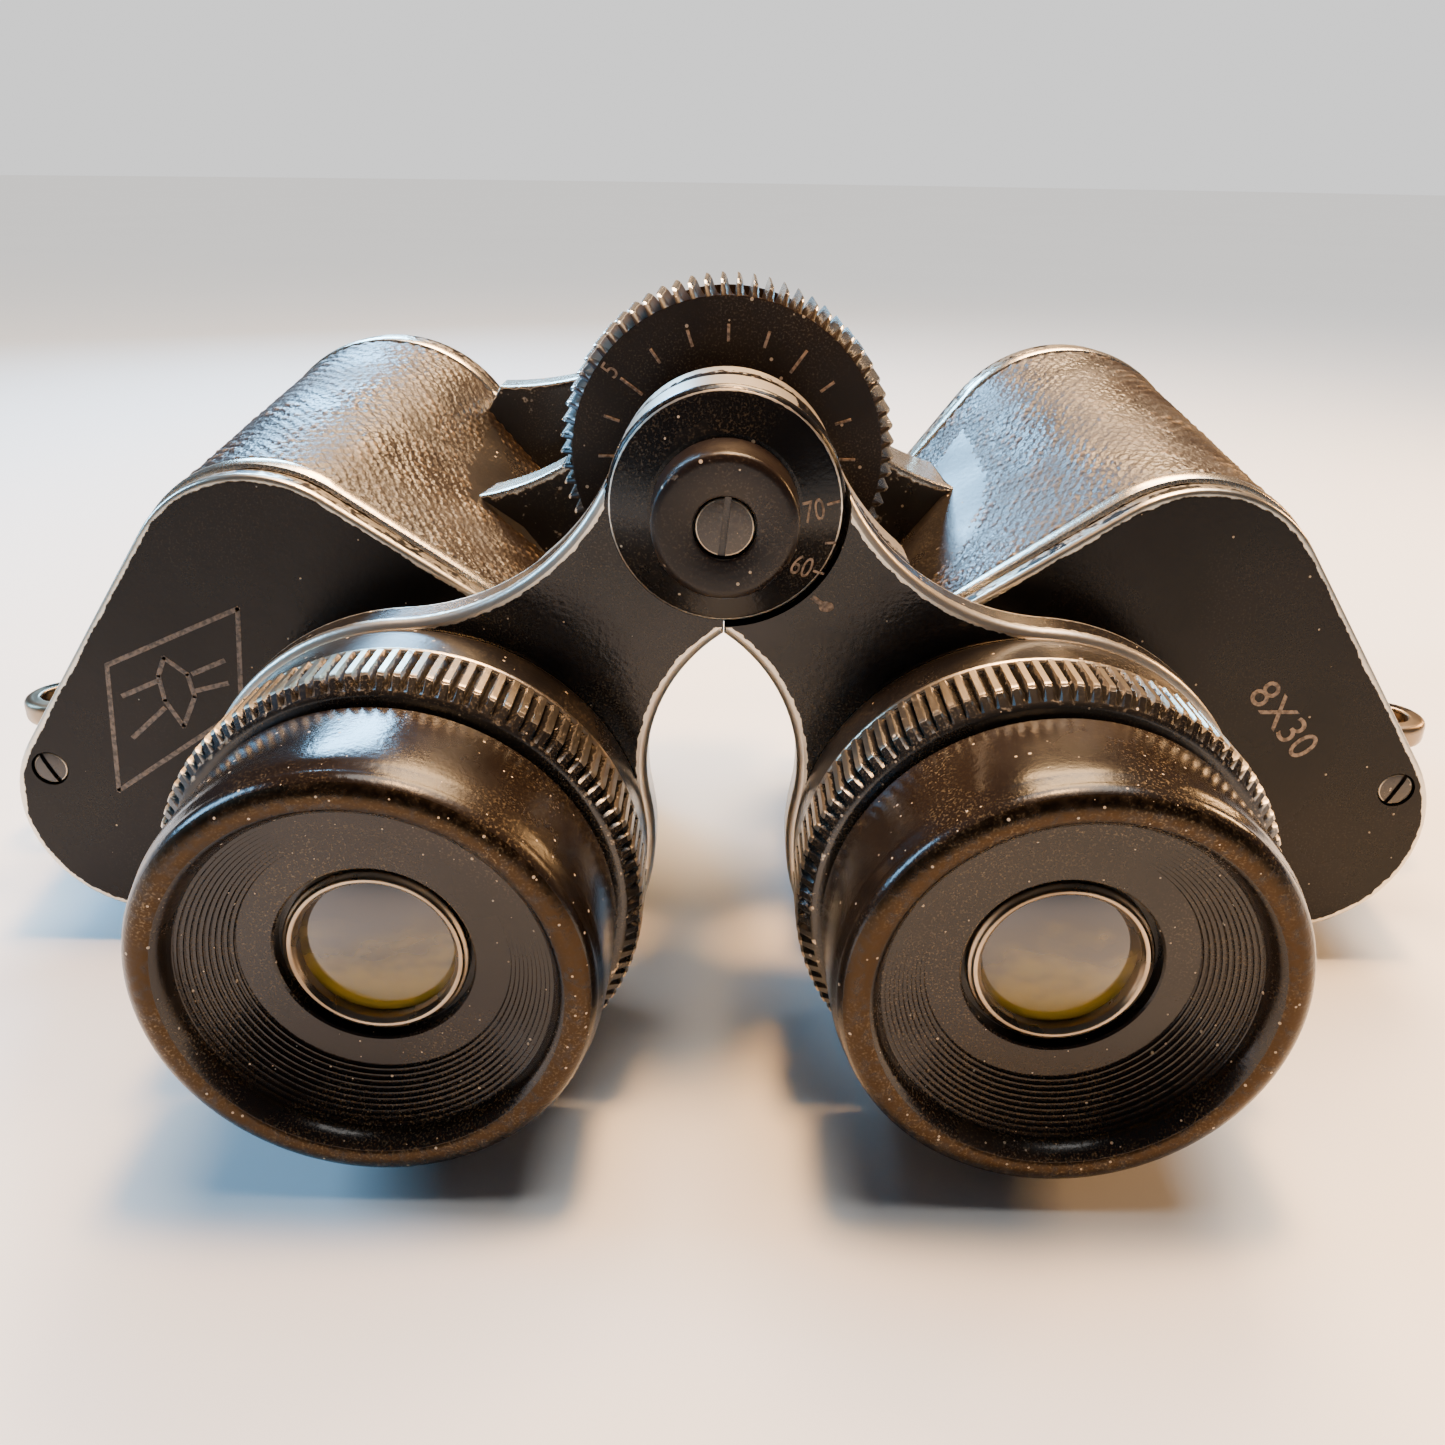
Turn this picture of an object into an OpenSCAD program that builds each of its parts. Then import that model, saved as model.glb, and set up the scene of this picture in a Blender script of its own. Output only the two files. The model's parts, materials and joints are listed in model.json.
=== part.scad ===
// Centre-focus prism binoculars of the 8x30 class, set close together.
// X runs to the right, +Y towards the objectives, +Z up. The hinge axis runs along Y.
// Each half is drawn once, as the right half, and mirrored for the left.

/* [Layout] */
// Distance from the hinge plane to each eyepiece axis
eye_x = 25; // [24:0.5:28]
// Drop from the hinge axis to the eyepiece axes
eye_drop = 28.9; // [28:0.1:30]
// Distance from the hinge plane to each objective axis
obj_x = 50; // [49:0.5:51]
// Length of a prism housing, between its two covers
housing_len = 37; // [36.5:0.5:39]
// Length of the objective barrels in front of the front covers
barrel_len = 34.6; // [30:0.2:40]

/* [Housing] */
// Radius of the housing's corner over the eyepiece axis
eye_corner_r = 17; // [16:0.1:17.5]
// Height of the proud rims at the ends of the housing
rim_h = 0.9; // [0.6:0.1:1.2]
// Width of those rims along the housing
rim_w = 1.5; // [1:0.1:2]
// Thickness of the cast wall
wall = 1.6; // [1.4:0.1:1.8]
// Thickness of the leatherette
leather_t = 0.8; // [0.4:0.1:1]
// Thickness of the rear and front covers
cover_t = 2.2; // [1.8:0.1:2.6]

/* [Hinge] */
// Radius of the hinge eyes
lug_r = 9; // [8.5:0.1:9.5]
// Radius of the hinge axle
axle_r = 6; // [5:0.1:6.5]
// Radius of the focus spindle
spindle_r = 4; // [3:0.1:4.5]
// Clearance of each running fit, on the radius
fit_gap = 0.05; // [0.02:0.01:0.1]

/* [Focus wheel] */
// Radius over the wheel's scallops
wheel_r = 15.1; // [14:0.1:16]
// Depth of one scallop
scallop_d = 0.75; // [0.4:0.05:1]
// Number of scallops round the wheel
scallops = 66; // [40:1:90]

/* [Bridge and eyepieces] */
// Thickness of the bridge arms
arm_t = 4; // [3:0.1:4.5]
// Radius of the bridge boss
boss_r = 9.25; // [8.5:0.05:9.6]
// Radius of an arm's end round its eyepiece
arm_eye_r = 19.4; // [19.2:0.1:20]
// Outer radius of the knurled rings
ring_r = 19; // [18.5:0.1:19.5]
// Number of flutes round a knurled ring
flutes = 100; // [60:4:120]
// Outer radius of an eyecup where it meets its ring
cup_r = 17.1; // [16.5:0.1:17.5]
// Number of anti-glare steps inside an eyecup
cup_steps = 11; // [6:1:14]
// Radius of the eye lenses
eye_lens_r = 6.15; // [5.5:0.05:6.2]

/* [Objectives] */
// Radius of a barrel's rim, the size of a push-on lens cap
obj_rim_r = 19; // [18.5:0.1:19.5]
// Radius of an objective lens
obj_lens_r = 15.5; // [15:0.1:15.6]

/* [Hidden] */

$fn = 96;

// Stations along Y, from the rear covers' inner face
arm_front = -13.4;
arm_back = arm_front + arm_t;
disc_split = -8.15;
boss_back = -2.9;
ring_front = -24.15;
ring_back = -18.1;
cup_back = -24.9;
cup_rim = -35.75;
lens_front = -30.6;
wheel_front = 4.5;
wheel_back = 14;
rear_lug_y = 15;
lug_w = 5;
front_lug_y = housing_len - lug_w;
cover_front = housing_len + cover_t;
obj_front = cover_front + 0.2 + barrel_len;

// Axes in the X-Z plane
hinge_c = [0, 0];
eye_c = [eye_x, -eye_drop];
obj_c = [obj_x, -eye_drop];
prism_shift = (obj_x - eye_x) / sqrt(2);
mid_c = [(eye_x + obj_x) / 2, -eye_drop + (obj_x - eye_x) / 2];

// The origin lies on the ground under the middle of the part
ground_drop = eye_drop + ring_r;
mid_y = (cup_rim + obj_front) / 2;

// Prism seats: the shelf stands between the two hypotenuse faces
shelf_t = 1.8;
shelf_y = 18.1;
prism_w = prism_shift - 0.2;
prism_tip = 1;

function arc(c, r, a0, a1, n) =
  [for (i = [0 : n]) let (a = a0 + (a1 - a0) * i / n) c + r * [cos(a), sin(a)]];

// The housing's outline is a band round three circles, each [x, z, r], and the upper one swells
// and rises towards the front
function corner_circles(y) = let (t = y / housing_len)
  [[41 - 3.5 * t, -12.3 + 4.1 * t, 12.2 + 2.1 * t],
   [55.3 + 0.7 * t, -32.7 + 1.2 * t, 12 + t],
   [eye_x, -eye_drop, eye_corner_r]];

// Angle of the outer tangent's normal for two circles met clockwise
function normal_angle(p, q) = let (d = [q[0] - p[0], q[1] - p[1]])
  atan2(d[1], d[0]) + acos((p[2] - q[2]) / norm(d));

function corner_arc(before, c, after, grow) =
  let (a0 = normal_angle(before, c), a1 = normal_angle(c, after))
  let (sweep = (a1 - a0) - 360 * ceil((a1 - a0) / 360))
  arc([c[0], c[1]], c[2] + grow, a0, a0 + sweep, 14);

function housing_outline(y, grow) = let (c = corner_circles(y))
  concat(corner_arc(c[2], c[0], c[1], grow),
    corner_arc(c[0], c[1], c[2], grow),
    corner_arc(c[1], c[2], c[0], grow));

// Centre of a fillet of radius f that touches a circle of radius r0 on the hinge axis and one of
// radius r1 on the eyepiece axis, on the upper (+1) or the lower side (-1)
function fillet_c(r0, r1, f, side) =
  let (d0 = r0 + f, d1 = r1 + f, d = norm(eye_c))
  let (a = atan2(eye_c[1], eye_c[0]) + side * acos((d0 * d0 + d * d - d1 * d1) / (2 * d0 * d)))
  [d0 * cos(a), d0 * sin(a)];

function angle_to(p, q) = atan2(q[1] - p[1], q[0] - p[0]);

// Bridge arm: boss, end round the eyepiece, and the two fillets between them
arm_top_f = 20;
arm_low_f = 14.5;
function arm_outline() =
  let (r = boss_r - 0.1)
  let (ct = fillet_c(r, arm_eye_r, arm_top_f, 1), cl = fillet_c(r, arm_eye_r, arm_low_f, -1))
  let (at = angle_to(hinge_c, ct), al = angle_to(hinge_c, cl))
  let (et = angle_to(eye_c, ct), el = angle_to(eye_c, cl))
  concat(arc(hinge_c, r, at, al + 360, 30),
    arc(cl, arm_low_f, al + 180, el - 180, 14),
    arc(eye_c, arm_eye_r, el, et + 360, 44),
    arc(ct, arm_top_f, et + 180, at + 180, 16));

// Hinge web: its upper fillet ends level at the point low, inside the housing
web_low_f = 8;
function web_outline(low) =
  let (f = (low * low - lug_r * lug_r) / (2 * (lug_r - low[1])), ct = [low[0], low[1] + f])
  let (cl = fillet_c(lug_r, eye_corner_r - rim_h, web_low_f, -1))
  let (at = angle_to(hinge_c, ct), al = angle_to(hinge_c, cl), el = angle_to(eye_c, cl))
  concat(arc(hinge_c, lug_r, at, al + 360, 28),
    arc(cl, web_low_f, al + 180, el - 180, 10),
    [eye_c, [36, -18]],
    arc(ct, f, 270, at + 180, 12));

rear_web_low = [29.6, -6.9];
front_web_low = [25, 1.5];

module placed() translate([0, -mid_y, ground_drop]) children();
module right() placed() children();
module left() placed() mirror([1, 0, 0]) children();

module slab(y0, y1) translate([0, y1, 0]) rotate([90, 0, 0]) linear_extrude(y1 - y0) children();
module rod(c, y0, y1, r) translate([c[0], y0, c[1]]) rotate([-90, 0, 0]) cylinder(h = y1 - y0, r = r);
module cone(c, y0, y1, r0, r1)
  translate([c[0], y0, c[1]]) rotate([-90, 0, 0]) cylinder(h = y1 - y0, r1 = r0, r2 = r1);
module ring(c, y0, y1, ro, ri) difference() {
  rod(c, y0, y1, ro);
  rod(c, y0 - 1, y1 + 1, ri);
}
module turned(c, profile)
  translate([c[0], 0, c[1]]) rotate([-90, 0, 0]) rotate_extrude() polygon(profile);
module housing_slab(y0, y1, grow) slab(y0, y1) polygon(housing_outline((y0 + y1) / 2, grow));

// The tapering body of the outline between two stations, in short bands that keep it smooth
bands = 6;
module tapered(y0, y1, grow) {
  ys = [for (k = [0 : bands]) y0 + (y1 - y0) * k / bands];
  n = len(housing_outline(y0, grow));
  polyhedron(
    points = [for (y = ys) for (p = housing_outline(y, grow)) [p[0], y, p[1]]],
    faces = concat([[for (i = [0 : n - 1]) i]], [[for (i = [n - 1 : -1 : 0]) bands * n + i]],
      [for (k = [0 : n : (bands - 1) * n]) for (i = [0 : n - 1]) [k + i, k + n + i, k + (i + 1) % n]],
      [for (k = [0 : n : (bands - 1) * n]) for (i = [0 : n - 1])
        [k + (i + 1) % n, k + n + i, k + n + (i + 1) % n]]));
}

// Screw places in the X-Z plane
rear_screws = [[63.3, -28.8], [22.5, -13.6], [38, -42.3]];
front_screws = [[51, -8.5], [13.5, -37], [33, 1.5]];
shelf_posts = [[55.27, -19.6], [15.5, -36.5]];
rib_turns = [-45, 141];
screw_r = 0.8;
screw_head_r = 1.6;
screw_head_h = 0.9;
screw_len = 7;
post_r = 1.9;
shelf_post_r = 1.4;
post_y = 1.2;

// The left half carries the two outer hinge eyes, the right half the long inner one
module outer_webs(gap) {
  slab(rear_lug_y - gap, rear_lug_y + lug_w + gap) polygon(web_outline(rear_web_low));
  slab(front_lug_y - gap, front_lug_y + lug_w + gap) polygon(web_outline(front_web_low));
}
module inner_web(gap)
  slab(rear_lug_y + lug_w + 0.1 - gap, front_lug_y - 0.1 + gap) polygon(web_outline(rear_web_low));

strap_y = 18;
strap_z = -31;
strap_hole_x = 72.2;
strap_hole_r = 2.2;
module strap_stem_hole(r) translate([60, strap_y, strap_z]) rotate([0, 90, 0]) cylinder(h = 14, r = r);

module housing_shell() difference() {
  union() {
    tapered(0, housing_len, -rim_h);
    housing_slab(0, rim_w, 0);
    housing_slab(housing_len - rim_w, housing_len, 0);
    children();
  }
  tapered(-1, housing_len + 1, -rim_h - wall);
}
module posts() {
  for (p = rear_screws) rod(p, 0, 8, post_r);
  for (p = front_screws) rod(p, housing_len - 8, housing_len, post_r);
  for (i = [0, 1]) {
    rod(shelf_posts[i], post_y, shelf_y, shelf_post_r);
    translate([shelf_posts[i][0], post_y, shelf_posts[i][1]]) rotate([0, rib_turns[i], 0])
      translate([0, 0, -0.6]) cube([3.2, shelf_y - post_y - 0.4, 1.2]);
  }
}
module housing() color("dimgray") difference() {
  union() {
    housing_shell() children();
    posts();
  }
  for (p = rear_screws) rod(p, -1, screw_len + 0.5, screw_r);
  for (p = front_screws) rod(p, housing_len - screw_len - 0.5, housing_len + 1, screw_r);
  for (p = shelf_posts) rod(p, shelf_y - 6, shelf_y + 1, screw_r);
  rod(hinge_c, rear_lug_y - 1, housing_len + 1, axle_r + fit_gap);
  strap_stem_hole(1.5);
}

module leather() color([0.16, 0.13, 0.11]) difference() {
  tapered(rim_w + 0.1, housing_len - rim_w - 0.1, leather_t - rim_h);
  tapered(0, housing_len, -rim_h);
  children();
  strap_stem_hole(3.2);
}

guide_ri = 11.6;
guide_ro = 13;
guide_front = -15.5;
module rear_cover() color([0.08, 0.08, 0.09]) difference() {
  union() {
    housing_slab(-cover_t, 0, 0);
    rod(eye_c, guide_front, -cover_t / 2, guide_ro);
  }
  rod(eye_c, guide_front - 1, 1, guide_ri);
  for (p = rear_screws) rod(p, -cover_t - 1, 1, screw_r + 0.1);
  for (p = rear_screws) rod(p, -cover_t - 1, screw_head_h - cover_t, screw_head_r + 0.1);
}

nose_r = 15;
nose_len = 4.4;
module front_cover() color([0.08, 0.08, 0.09]) difference() {
  union() {
    housing_slab(housing_len, cover_front, 0);
    rod(obj_c, housing_len + 0.5, cover_front + nose_len, nose_r);
  }
  rod(obj_c, housing_len - 1, cover_front + nose_len + 1, nose_r - 1.6);
  for (p = front_screws) rod(p, housing_len - 1, cover_front + 1, screw_r + 0.1);
  for (p = front_screws) rod(p, cover_front - screw_head_h, cover_front + 1, screw_head_r + 0.1);
}

// A slotted screw with its head at y, driven along +Y (way 1) or -Y (way -1)
module screw(p, y, way, length) translate([p[0], y, p[1]]) scale([1, way, 1]) difference() {
  union() {
    rod(hinge_c, 0, screw_head_h - 0.1, screw_head_r);
    rod(hinge_c, 0, length, screw_r - 0.05);
  }
  translate([-0.25, -0.5, -screw_head_r]) cube([0.5, 0.9, 2 * screw_head_r]);
}
module cover_screws() color("gray") {
  for (p = rear_screws) screw(p, -cover_t, 1, screw_len);
  for (p = front_screws) screw(p, cover_front, -1, screw_len);
}
module shelf_screws() color("gray")
  for (p = shelf_posts) screw(p, shelf_y + shelf_t + screw_head_h - 0.1, -1, 5);

light_r = 7.8;
module prism_shelf() color("silver") difference() {
  housing_slab(shelf_y, shelf_y + shelf_t, -rim_h - wall - 0.35);
  rod(eye_c, shelf_y - 1, shelf_y + shelf_t + 1, light_r);
  rod(obj_c, shelf_y - 1, shelf_y + shelf_t + 1, light_r);
  rod(mid_c, shelf_y - 1, shelf_y + shelf_t + 1, light_r);
  for (p = shelf_posts) rod(p, shelf_y - 1, shelf_y + shelf_t + 1, screw_r + 0.1);
}

// A right-angle prism with its long face on the plane y, pointing along way
module prism(c, turn, y, way) translate([c[0], y, c[1]]) rotate([0, turn, 0])
  translate([0, 0, -prism_w / 2]) linear_extrude(prism_w)
    polygon([[-prism_shift, 0], [prism_shift, 0],
      [prism_tip, way * (prism_shift - prism_tip)], [-prism_tip, way * (prism_shift - prism_tip)]]);
rear_prism_c = (obj_c + mid_c) / 2;
front_prism_c = (eye_c + mid_c) / 2;
module rear_prism() color([0.8, 0.9, 0.95, 0.5]) prism(rear_prism_c, 45, shelf_y, -1);
module front_prism() color([0.8, 0.9, 0.95, 0.5]) prism(front_prism_c, -45, shelf_y + shelf_t, 1);

// Spring strap over a prism's blunt tip, with a leg down each side
clip_t = 0.4;
clip_w = 1.8;
module clip(c, turn, y, way) translate([c[0], y, c[1]]) rotate([0, turn, 0]) scale([1, way, 1])
  translate([-clip_w / 2, 0, 0]) difference() {
    translate([0, 0, -prism_w / 2 - clip_t])
      cube([clip_w, prism_shift - prism_tip + clip_t, prism_w + 2 * clip_t]);
    translate([-1, -1, -prism_w / 2]) cube([clip_w + 2, prism_shift - prism_tip + 1, prism_w]);
  }
module prism_clips() color("goldenrod") {
  clip(rear_prism_c, 45, shelf_y, -1);
  clip(front_prism_c, -45, shelf_y + shelf_t, 1);
}

module strap_lug() color("silver") difference() {
  union() {
    translate([66, strap_y, strap_z]) rotate([0, 90, 0]) cylinder(h = 3.4, r = 1.45);
    translate([67.3, strap_y, strap_z]) rotate([0, 90, 0]) cylinder(h = 1.1, r = 3);
    translate([strap_hole_x, strap_y, strap_z - 1.3]) cylinder(h = 2.6, r = 4);
  }
  translate([strap_hole_x, strap_y, strap_z - 3]) cylinder(h = 6, r = strap_hole_r);
}

// Barrel: a waisted nose that opens to the rim the lens cap goes on
cell_back = obj_front - 17;
cell_front = obj_front - 8;
rim_band = 10;
module objective_barrel() color([0.07, 0.07, 0.08]) difference() {
  turned(obj_c, [[0, cover_front + 0.1], [16.6, cover_front + 0.1], [16.6, cover_front + 2.6],
    [15.9, cover_front + 3.2], [15.9, cover_front + 5], [17.6, obj_front - rim_band - 2.5],
    [17.6, obj_front - rim_band - 1], [obj_rim_r, obj_front - rim_band],
    [obj_rim_r, obj_front - 0.5], [obj_rim_r - 0.5, obj_front], [0, obj_front]]);
  rod(obj_c, cover_front - 1, cover_front + nose_len + 0.4, nose_r + fit_gap);
  rod(obj_c, cover_front, cell_back + 0.01, 14.2);
  rod(obj_c, cell_back, obj_front + 1, 17.05);
}
module objective_cell() color("dimgray") difference() {
  rod(obj_c, cell_back, cell_front, 17);
  rod(obj_c, cell_back - 1, cell_front + 1, obj_lens_r - 0.9);
  rod(obj_c, cell_back + 1.6, cell_front + 1, obj_lens_r + fit_gap);
}

// A lens of radius r between the vertices y0 and y1, with bulge s0 and s1 of its two faces
function bulge(r, s) = (r * r + s * s) / (2 * s);
function cap_arc(r, y, s, way) = let (c = bulge(r, s), a = asin(r / c))
  [for (p = arc([0, y + way * c], c, -way * 90, -way * (90 - a), 6)) [max(p[0], 0), p[1]]];
function reversed(v) = [for (i = [len(v) - 1 : -1 : 0]) v[i]];
module lens(c, y0, y1, r, s0, s1)
  turned(c, concat(cap_arc(r, y0, s0, 1), reversed(cap_arc(r, y1, s1, -1))));
module objective_lens() color([0.6, 0.8, 0.9, 0.5])
  lens(obj_c, cell_back + 1.7, cell_front - 0.4, obj_lens_r, 0.9, 1.8);
module objective_ring() color("dimgray")
  ring(obj_c, cell_front + 0.05, cell_front + 1.3, 17, obj_lens_r - 0.7);

// Bridge arms: both ends lie in one plane, and the bosses stack on the spindle
neck_r = 16;
module arm_plate(y1) difference() {
  slab(arm_front, y1) polygon(arm_outline());
  difference() {
    rod(eye_c, arm_back, y1 + 1, 60);
    rod(hinge_c, arm_back - 1, y1 + 2, neck_r);
  }
  translate([-20, arm_front - 1, -20]) cube([20.2, y1 - arm_front + 2, 20]);
  rod(eye_c, arm_front - 1, arm_back + 1, sleeve_ro + 0.02);
}
module arm_left() color([0.05, 0.05, 0.06]) difference() {
  union() {
    arm_plate(disc_split);
    rod(hinge_c, arm_front, disc_split, boss_r);
  }
  rod(hinge_c, arm_front - 1, disc_split + 1, spindle_r + 0.02);
}
module arm_right() color([0.05, 0.05, 0.06]) difference() {
  union() {
    difference() {
      arm_plate(boss_back);
      rod(hinge_c, arm_front - 1, disc_split + 0.1, boss_r + 0.3);
    }
    rod(hinge_c, disc_split + 0.1, boss_back, boss_r);
  }
  rod(hinge_c, disc_split - 1, boss_back + 1, spindle_r + fit_gap);
}

sleeve_ri = guide_ro + fit_gap;
sleeve_ro = 15;
sleeve_back = -7.2;
sleeve_nose = -23.6;
module ocular_sleeve() color([0.05, 0.05, 0.06]) difference() {
  union() {
    rod(eye_c, sleeve_nose, sleeve_back, sleeve_ro);
    rod(eye_c, ring_back + 0.1, arm_front, ring_r - 0.3);
  }
  rod(eye_c, sleeve_nose - 1, sleeve_back + 1, sleeve_ri);
}

tube_r = 11.4;
tube_front = -29.9;
tube_back = -4.2;
module ocular_tube() color("dimgray") difference() {
  union() {
    rod(eye_c, tube_front, tube_back, tube_r);
    rod(eye_c, -24.8, -20.6, guide_ro);
  }
  rod(eye_c, tube_front - 1, tube_front + 4, eye_lens_r + fit_gap);
  rod(eye_c, tube_front + 3, tube_front + 6, eye_lens_r - 0.7);
  rod(eye_c, tube_front + 5, tube_back + 1, tube_r - 1.2);
}

// Ring with straight flutes, each a shallow V between two flats
flute_d = 0.3;
function flute_profile(r, n, d) = [for (i = [0 : n - 1], k = [-0.24, 0, 0.24, 0.5])
    let (a = 360 * (i + k) / n) (r - (k == 0.5 ? d : 0)) * [cos(a), sin(a)]];
module knurled_ring() color([0.1, 0.09, 0.08]) difference() {
  translate([eye_x, 0, -eye_drop]) slab(ring_front, ring_back)
    polygon(flute_profile(ring_r, flutes, flute_d));
  rod(eye_c, ring_front - 1, ring_back + 1, guide_ro + fit_gap);
  rod(eye_c, sleeve_nose - 0.15, ring_back + 1, sleeve_ro + fit_gap);
}

cup_lip_r = 16.2;
cup_in_r = 13.5;
cup_floor_r = 9.1;
cup_floor = -31.3;
cup_hole_r = 6.95;
step_in = (cup_in_r - cup_floor_r) / cup_steps;
step_y = (cup_floor - cup_rim - 0.9) / cup_steps;
function cup_funnel() = [for (i = [0 : cup_steps - 1], k = [0, 1])
    [cup_in_r - step_in * i, cup_rim + 0.9 + step_y * (i + k)]];
module eyecup() color([0.09, 0.07, 0.06]) difference() {
  turned(eye_c, concat([[cup_hole_r, cup_back], [cup_r, cup_back], [cup_r, cup_back - 5],
      [16.75, cup_rim + 1.6], [16.55, cup_rim + 0.6], [cup_lip_r, cup_rim + 0.15], [15.8, cup_rim],
      [14.6, cup_rim], [13.9, cup_rim + 0.3]],
    cup_funnel(), [[cup_floor_r, cup_floor], [cup_hole_r, cup_floor]]));
  rod(eye_c, tube_front - 0.1, cup_back + 1, tube_r + fit_gap);
}

module eye_lens() color([0.7, 0.6, 0.2, 0.5]) lens(eye_c, lens_front, tube_front + 3, eye_lens_r, 0.8, 0.5);
module lens_retainer() color("silver") ring(eye_c, -31.1, tube_front, 6.85, 5.75);
module field_lens() color([0.7, 0.8, 0.9, 0.5]) lens(eye_c, -9.4, -5, tube_r - 1.25, 0.6, 1.8);

module hinge_axle() color("silver") ring(hinge_c, 3.2, front_lug_y + lug_w, axle_r, spindle_r + fit_gap);
cap_seat = housing_len + 0.05;
module hinge_front_cap() color([0.07, 0.07, 0.08])
  turned(hinge_c, [[0, cap_seat], [8.6, cap_seat], [8.6, cap_seat + 1.3], [7.8, cap_seat + 2.1],
    [0, cap_seat + 2.1]]);
module wheel_lock_ring() color("gray") ring(hinge_c, 3, wheel_front - 0.1, 7.4, axle_r + 0.02);

function scallop_profile(r, n, d) = [for (i = [0 : n - 1], k = [-0.34, -0.17, 0, 0.17, 0.34, 0.5])
    let (a = 360 * (i + k) / n) (r - d * pow(2 * abs(k), 2)) * [cos(a), sin(a)]];
module focus_wheel() color([0.07, 0.06, 0.05]) difference() {
  slab(wheel_front, wheel_back) polygon(scallop_profile(wheel_r, scallops, scallop_d));
  rod(hinge_c, wheel_front - 1, wheel_back + 1, axle_r + fit_gap);
}

spindle_end = 30;
cap_front = -19.2;
cap_r = 5.5;
module focus_spindle() color("silver") difference() {
  union() {
    rod(hinge_c, arm_front - 1.5, spindle_end, spindle_r);
    rod(hinge_c, boss_back + 0.05, boss_back + 0.9, axle_r);
  }
  rod(hinge_c, arm_front - 3, -4, 1.25);
}
module bridge_cap() color([0.07, 0.06, 0.05]) difference() {
  union() {
    rod(hinge_c, cap_front + 0.6, arm_front, cap_r);
    cone(hinge_c, cap_front, cap_front + 0.6, cap_r - 0.6, cap_r);
  }
  rod(hinge_c, arm_front - 1.6, arm_front + 1, spindle_r + 0.02);
  rod(hinge_c, cap_front - 1, arm_front, 1.3);
  rod(hinge_c, cap_front - 1, cap_front + 1.2, 2.35);
}
module cap_screw() color("silver") difference() {
  union() {
    rod(hinge_c, cap_front + 0.2, cap_front + 1.2, 2.25);
    rod(hinge_c, cap_front + 1, -6, 1.2);
  }
  translate([-0.3, cap_front - 0.5, -3]) cube([0.6, 1.3, 6]);
}

left() housing() outer_webs(0);  // left_housing
left() leather() outer_webs(0.3);  // left_leather
left() rear_cover();  // left_rear_cover
left() front_cover();  // left_front_cover
left() cover_screws();  // left_cover_screws
left() prism_shelf();  // left_prism_shelf
left() rear_prism();  // left_rear_prism
left() front_prism();  // left_front_prism
left() prism_clips();  // left_prism_clips
left() shelf_screws();  // left_shelf_screws
left() strap_lug();  // left_strap_lug
left() objective_barrel();  // left_objective_barrel
left() objective_cell();  // left_objective_cell
left() objective_lens();  // left_objective_lens
left() objective_ring();  // left_objective_ring
left() arm_left();  // left_arm
left() ocular_sleeve();  // left_ocular_sleeve
left() ocular_tube();  // left_ocular_tube
left() knurled_ring();  // left_knurled_ring
left() eyecup();  // left_eyecup
left() eye_lens();  // left_eye_lens
left() lens_retainer();  // left_lens_retainer
left() field_lens();  // left_field_lens
right() housing() inner_web(0);  // right_housing
right() leather() inner_web(0.3);  // right_leather
right() rear_cover();  // right_rear_cover
right() front_cover();  // right_front_cover
right() cover_screws();  // right_cover_screws
right() prism_shelf();  // right_prism_shelf
right() rear_prism();  // right_rear_prism
right() front_prism();  // right_front_prism
right() prism_clips();  // right_prism_clips
right() shelf_screws();  // right_shelf_screws
right() strap_lug();  // right_strap_lug
right() objective_barrel();  // right_objective_barrel
right() objective_cell();  // right_objective_cell
right() objective_lens();  // right_objective_lens
right() objective_ring();  // right_objective_ring
right() arm_right();  // right_arm
right() ocular_sleeve();  // right_ocular_sleeve
right() ocular_tube();  // right_ocular_tube
right() knurled_ring();  // right_diopter_ring
right() eyecup();  // right_eyecup
right() eye_lens();  // right_eye_lens
right() lens_retainer();  // right_lens_retainer
right() field_lens();  // right_field_lens
placed() hinge_axle();
placed() hinge_front_cap();
placed() focus_wheel();
placed() wheel_lock_ring();
placed() focus_spindle();
placed() bridge_cap();
placed() cap_screw();
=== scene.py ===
import json
import math

import bpy
from mathutils import Euler, Matrix, Vector, noise


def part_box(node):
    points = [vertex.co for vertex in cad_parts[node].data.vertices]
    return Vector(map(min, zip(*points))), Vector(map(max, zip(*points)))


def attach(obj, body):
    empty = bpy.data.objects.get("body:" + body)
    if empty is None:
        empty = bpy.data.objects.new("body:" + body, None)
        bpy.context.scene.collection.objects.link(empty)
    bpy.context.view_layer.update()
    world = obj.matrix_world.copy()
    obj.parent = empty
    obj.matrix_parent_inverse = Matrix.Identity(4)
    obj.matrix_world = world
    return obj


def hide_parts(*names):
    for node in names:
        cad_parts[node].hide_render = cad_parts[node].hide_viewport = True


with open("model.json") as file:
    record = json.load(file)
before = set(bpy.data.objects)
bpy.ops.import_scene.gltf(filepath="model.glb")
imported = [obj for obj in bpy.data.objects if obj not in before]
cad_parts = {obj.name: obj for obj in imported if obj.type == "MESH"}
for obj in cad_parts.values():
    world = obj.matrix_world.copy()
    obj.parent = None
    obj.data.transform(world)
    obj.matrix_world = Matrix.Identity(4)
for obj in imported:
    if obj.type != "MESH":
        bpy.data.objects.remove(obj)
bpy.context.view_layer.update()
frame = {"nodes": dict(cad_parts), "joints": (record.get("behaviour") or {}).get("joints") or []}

# Prism binoculars, seen from the eyepieces. Shapes are worked out in millimetres from the hinge
# axis, with Y at the rear covers' seat, and each finished piece is put to metres and into place.
mm = 0.001
hingeJoint = next(j for j in frame["joints"] if j["name"] == "spacing_hinge")
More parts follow.
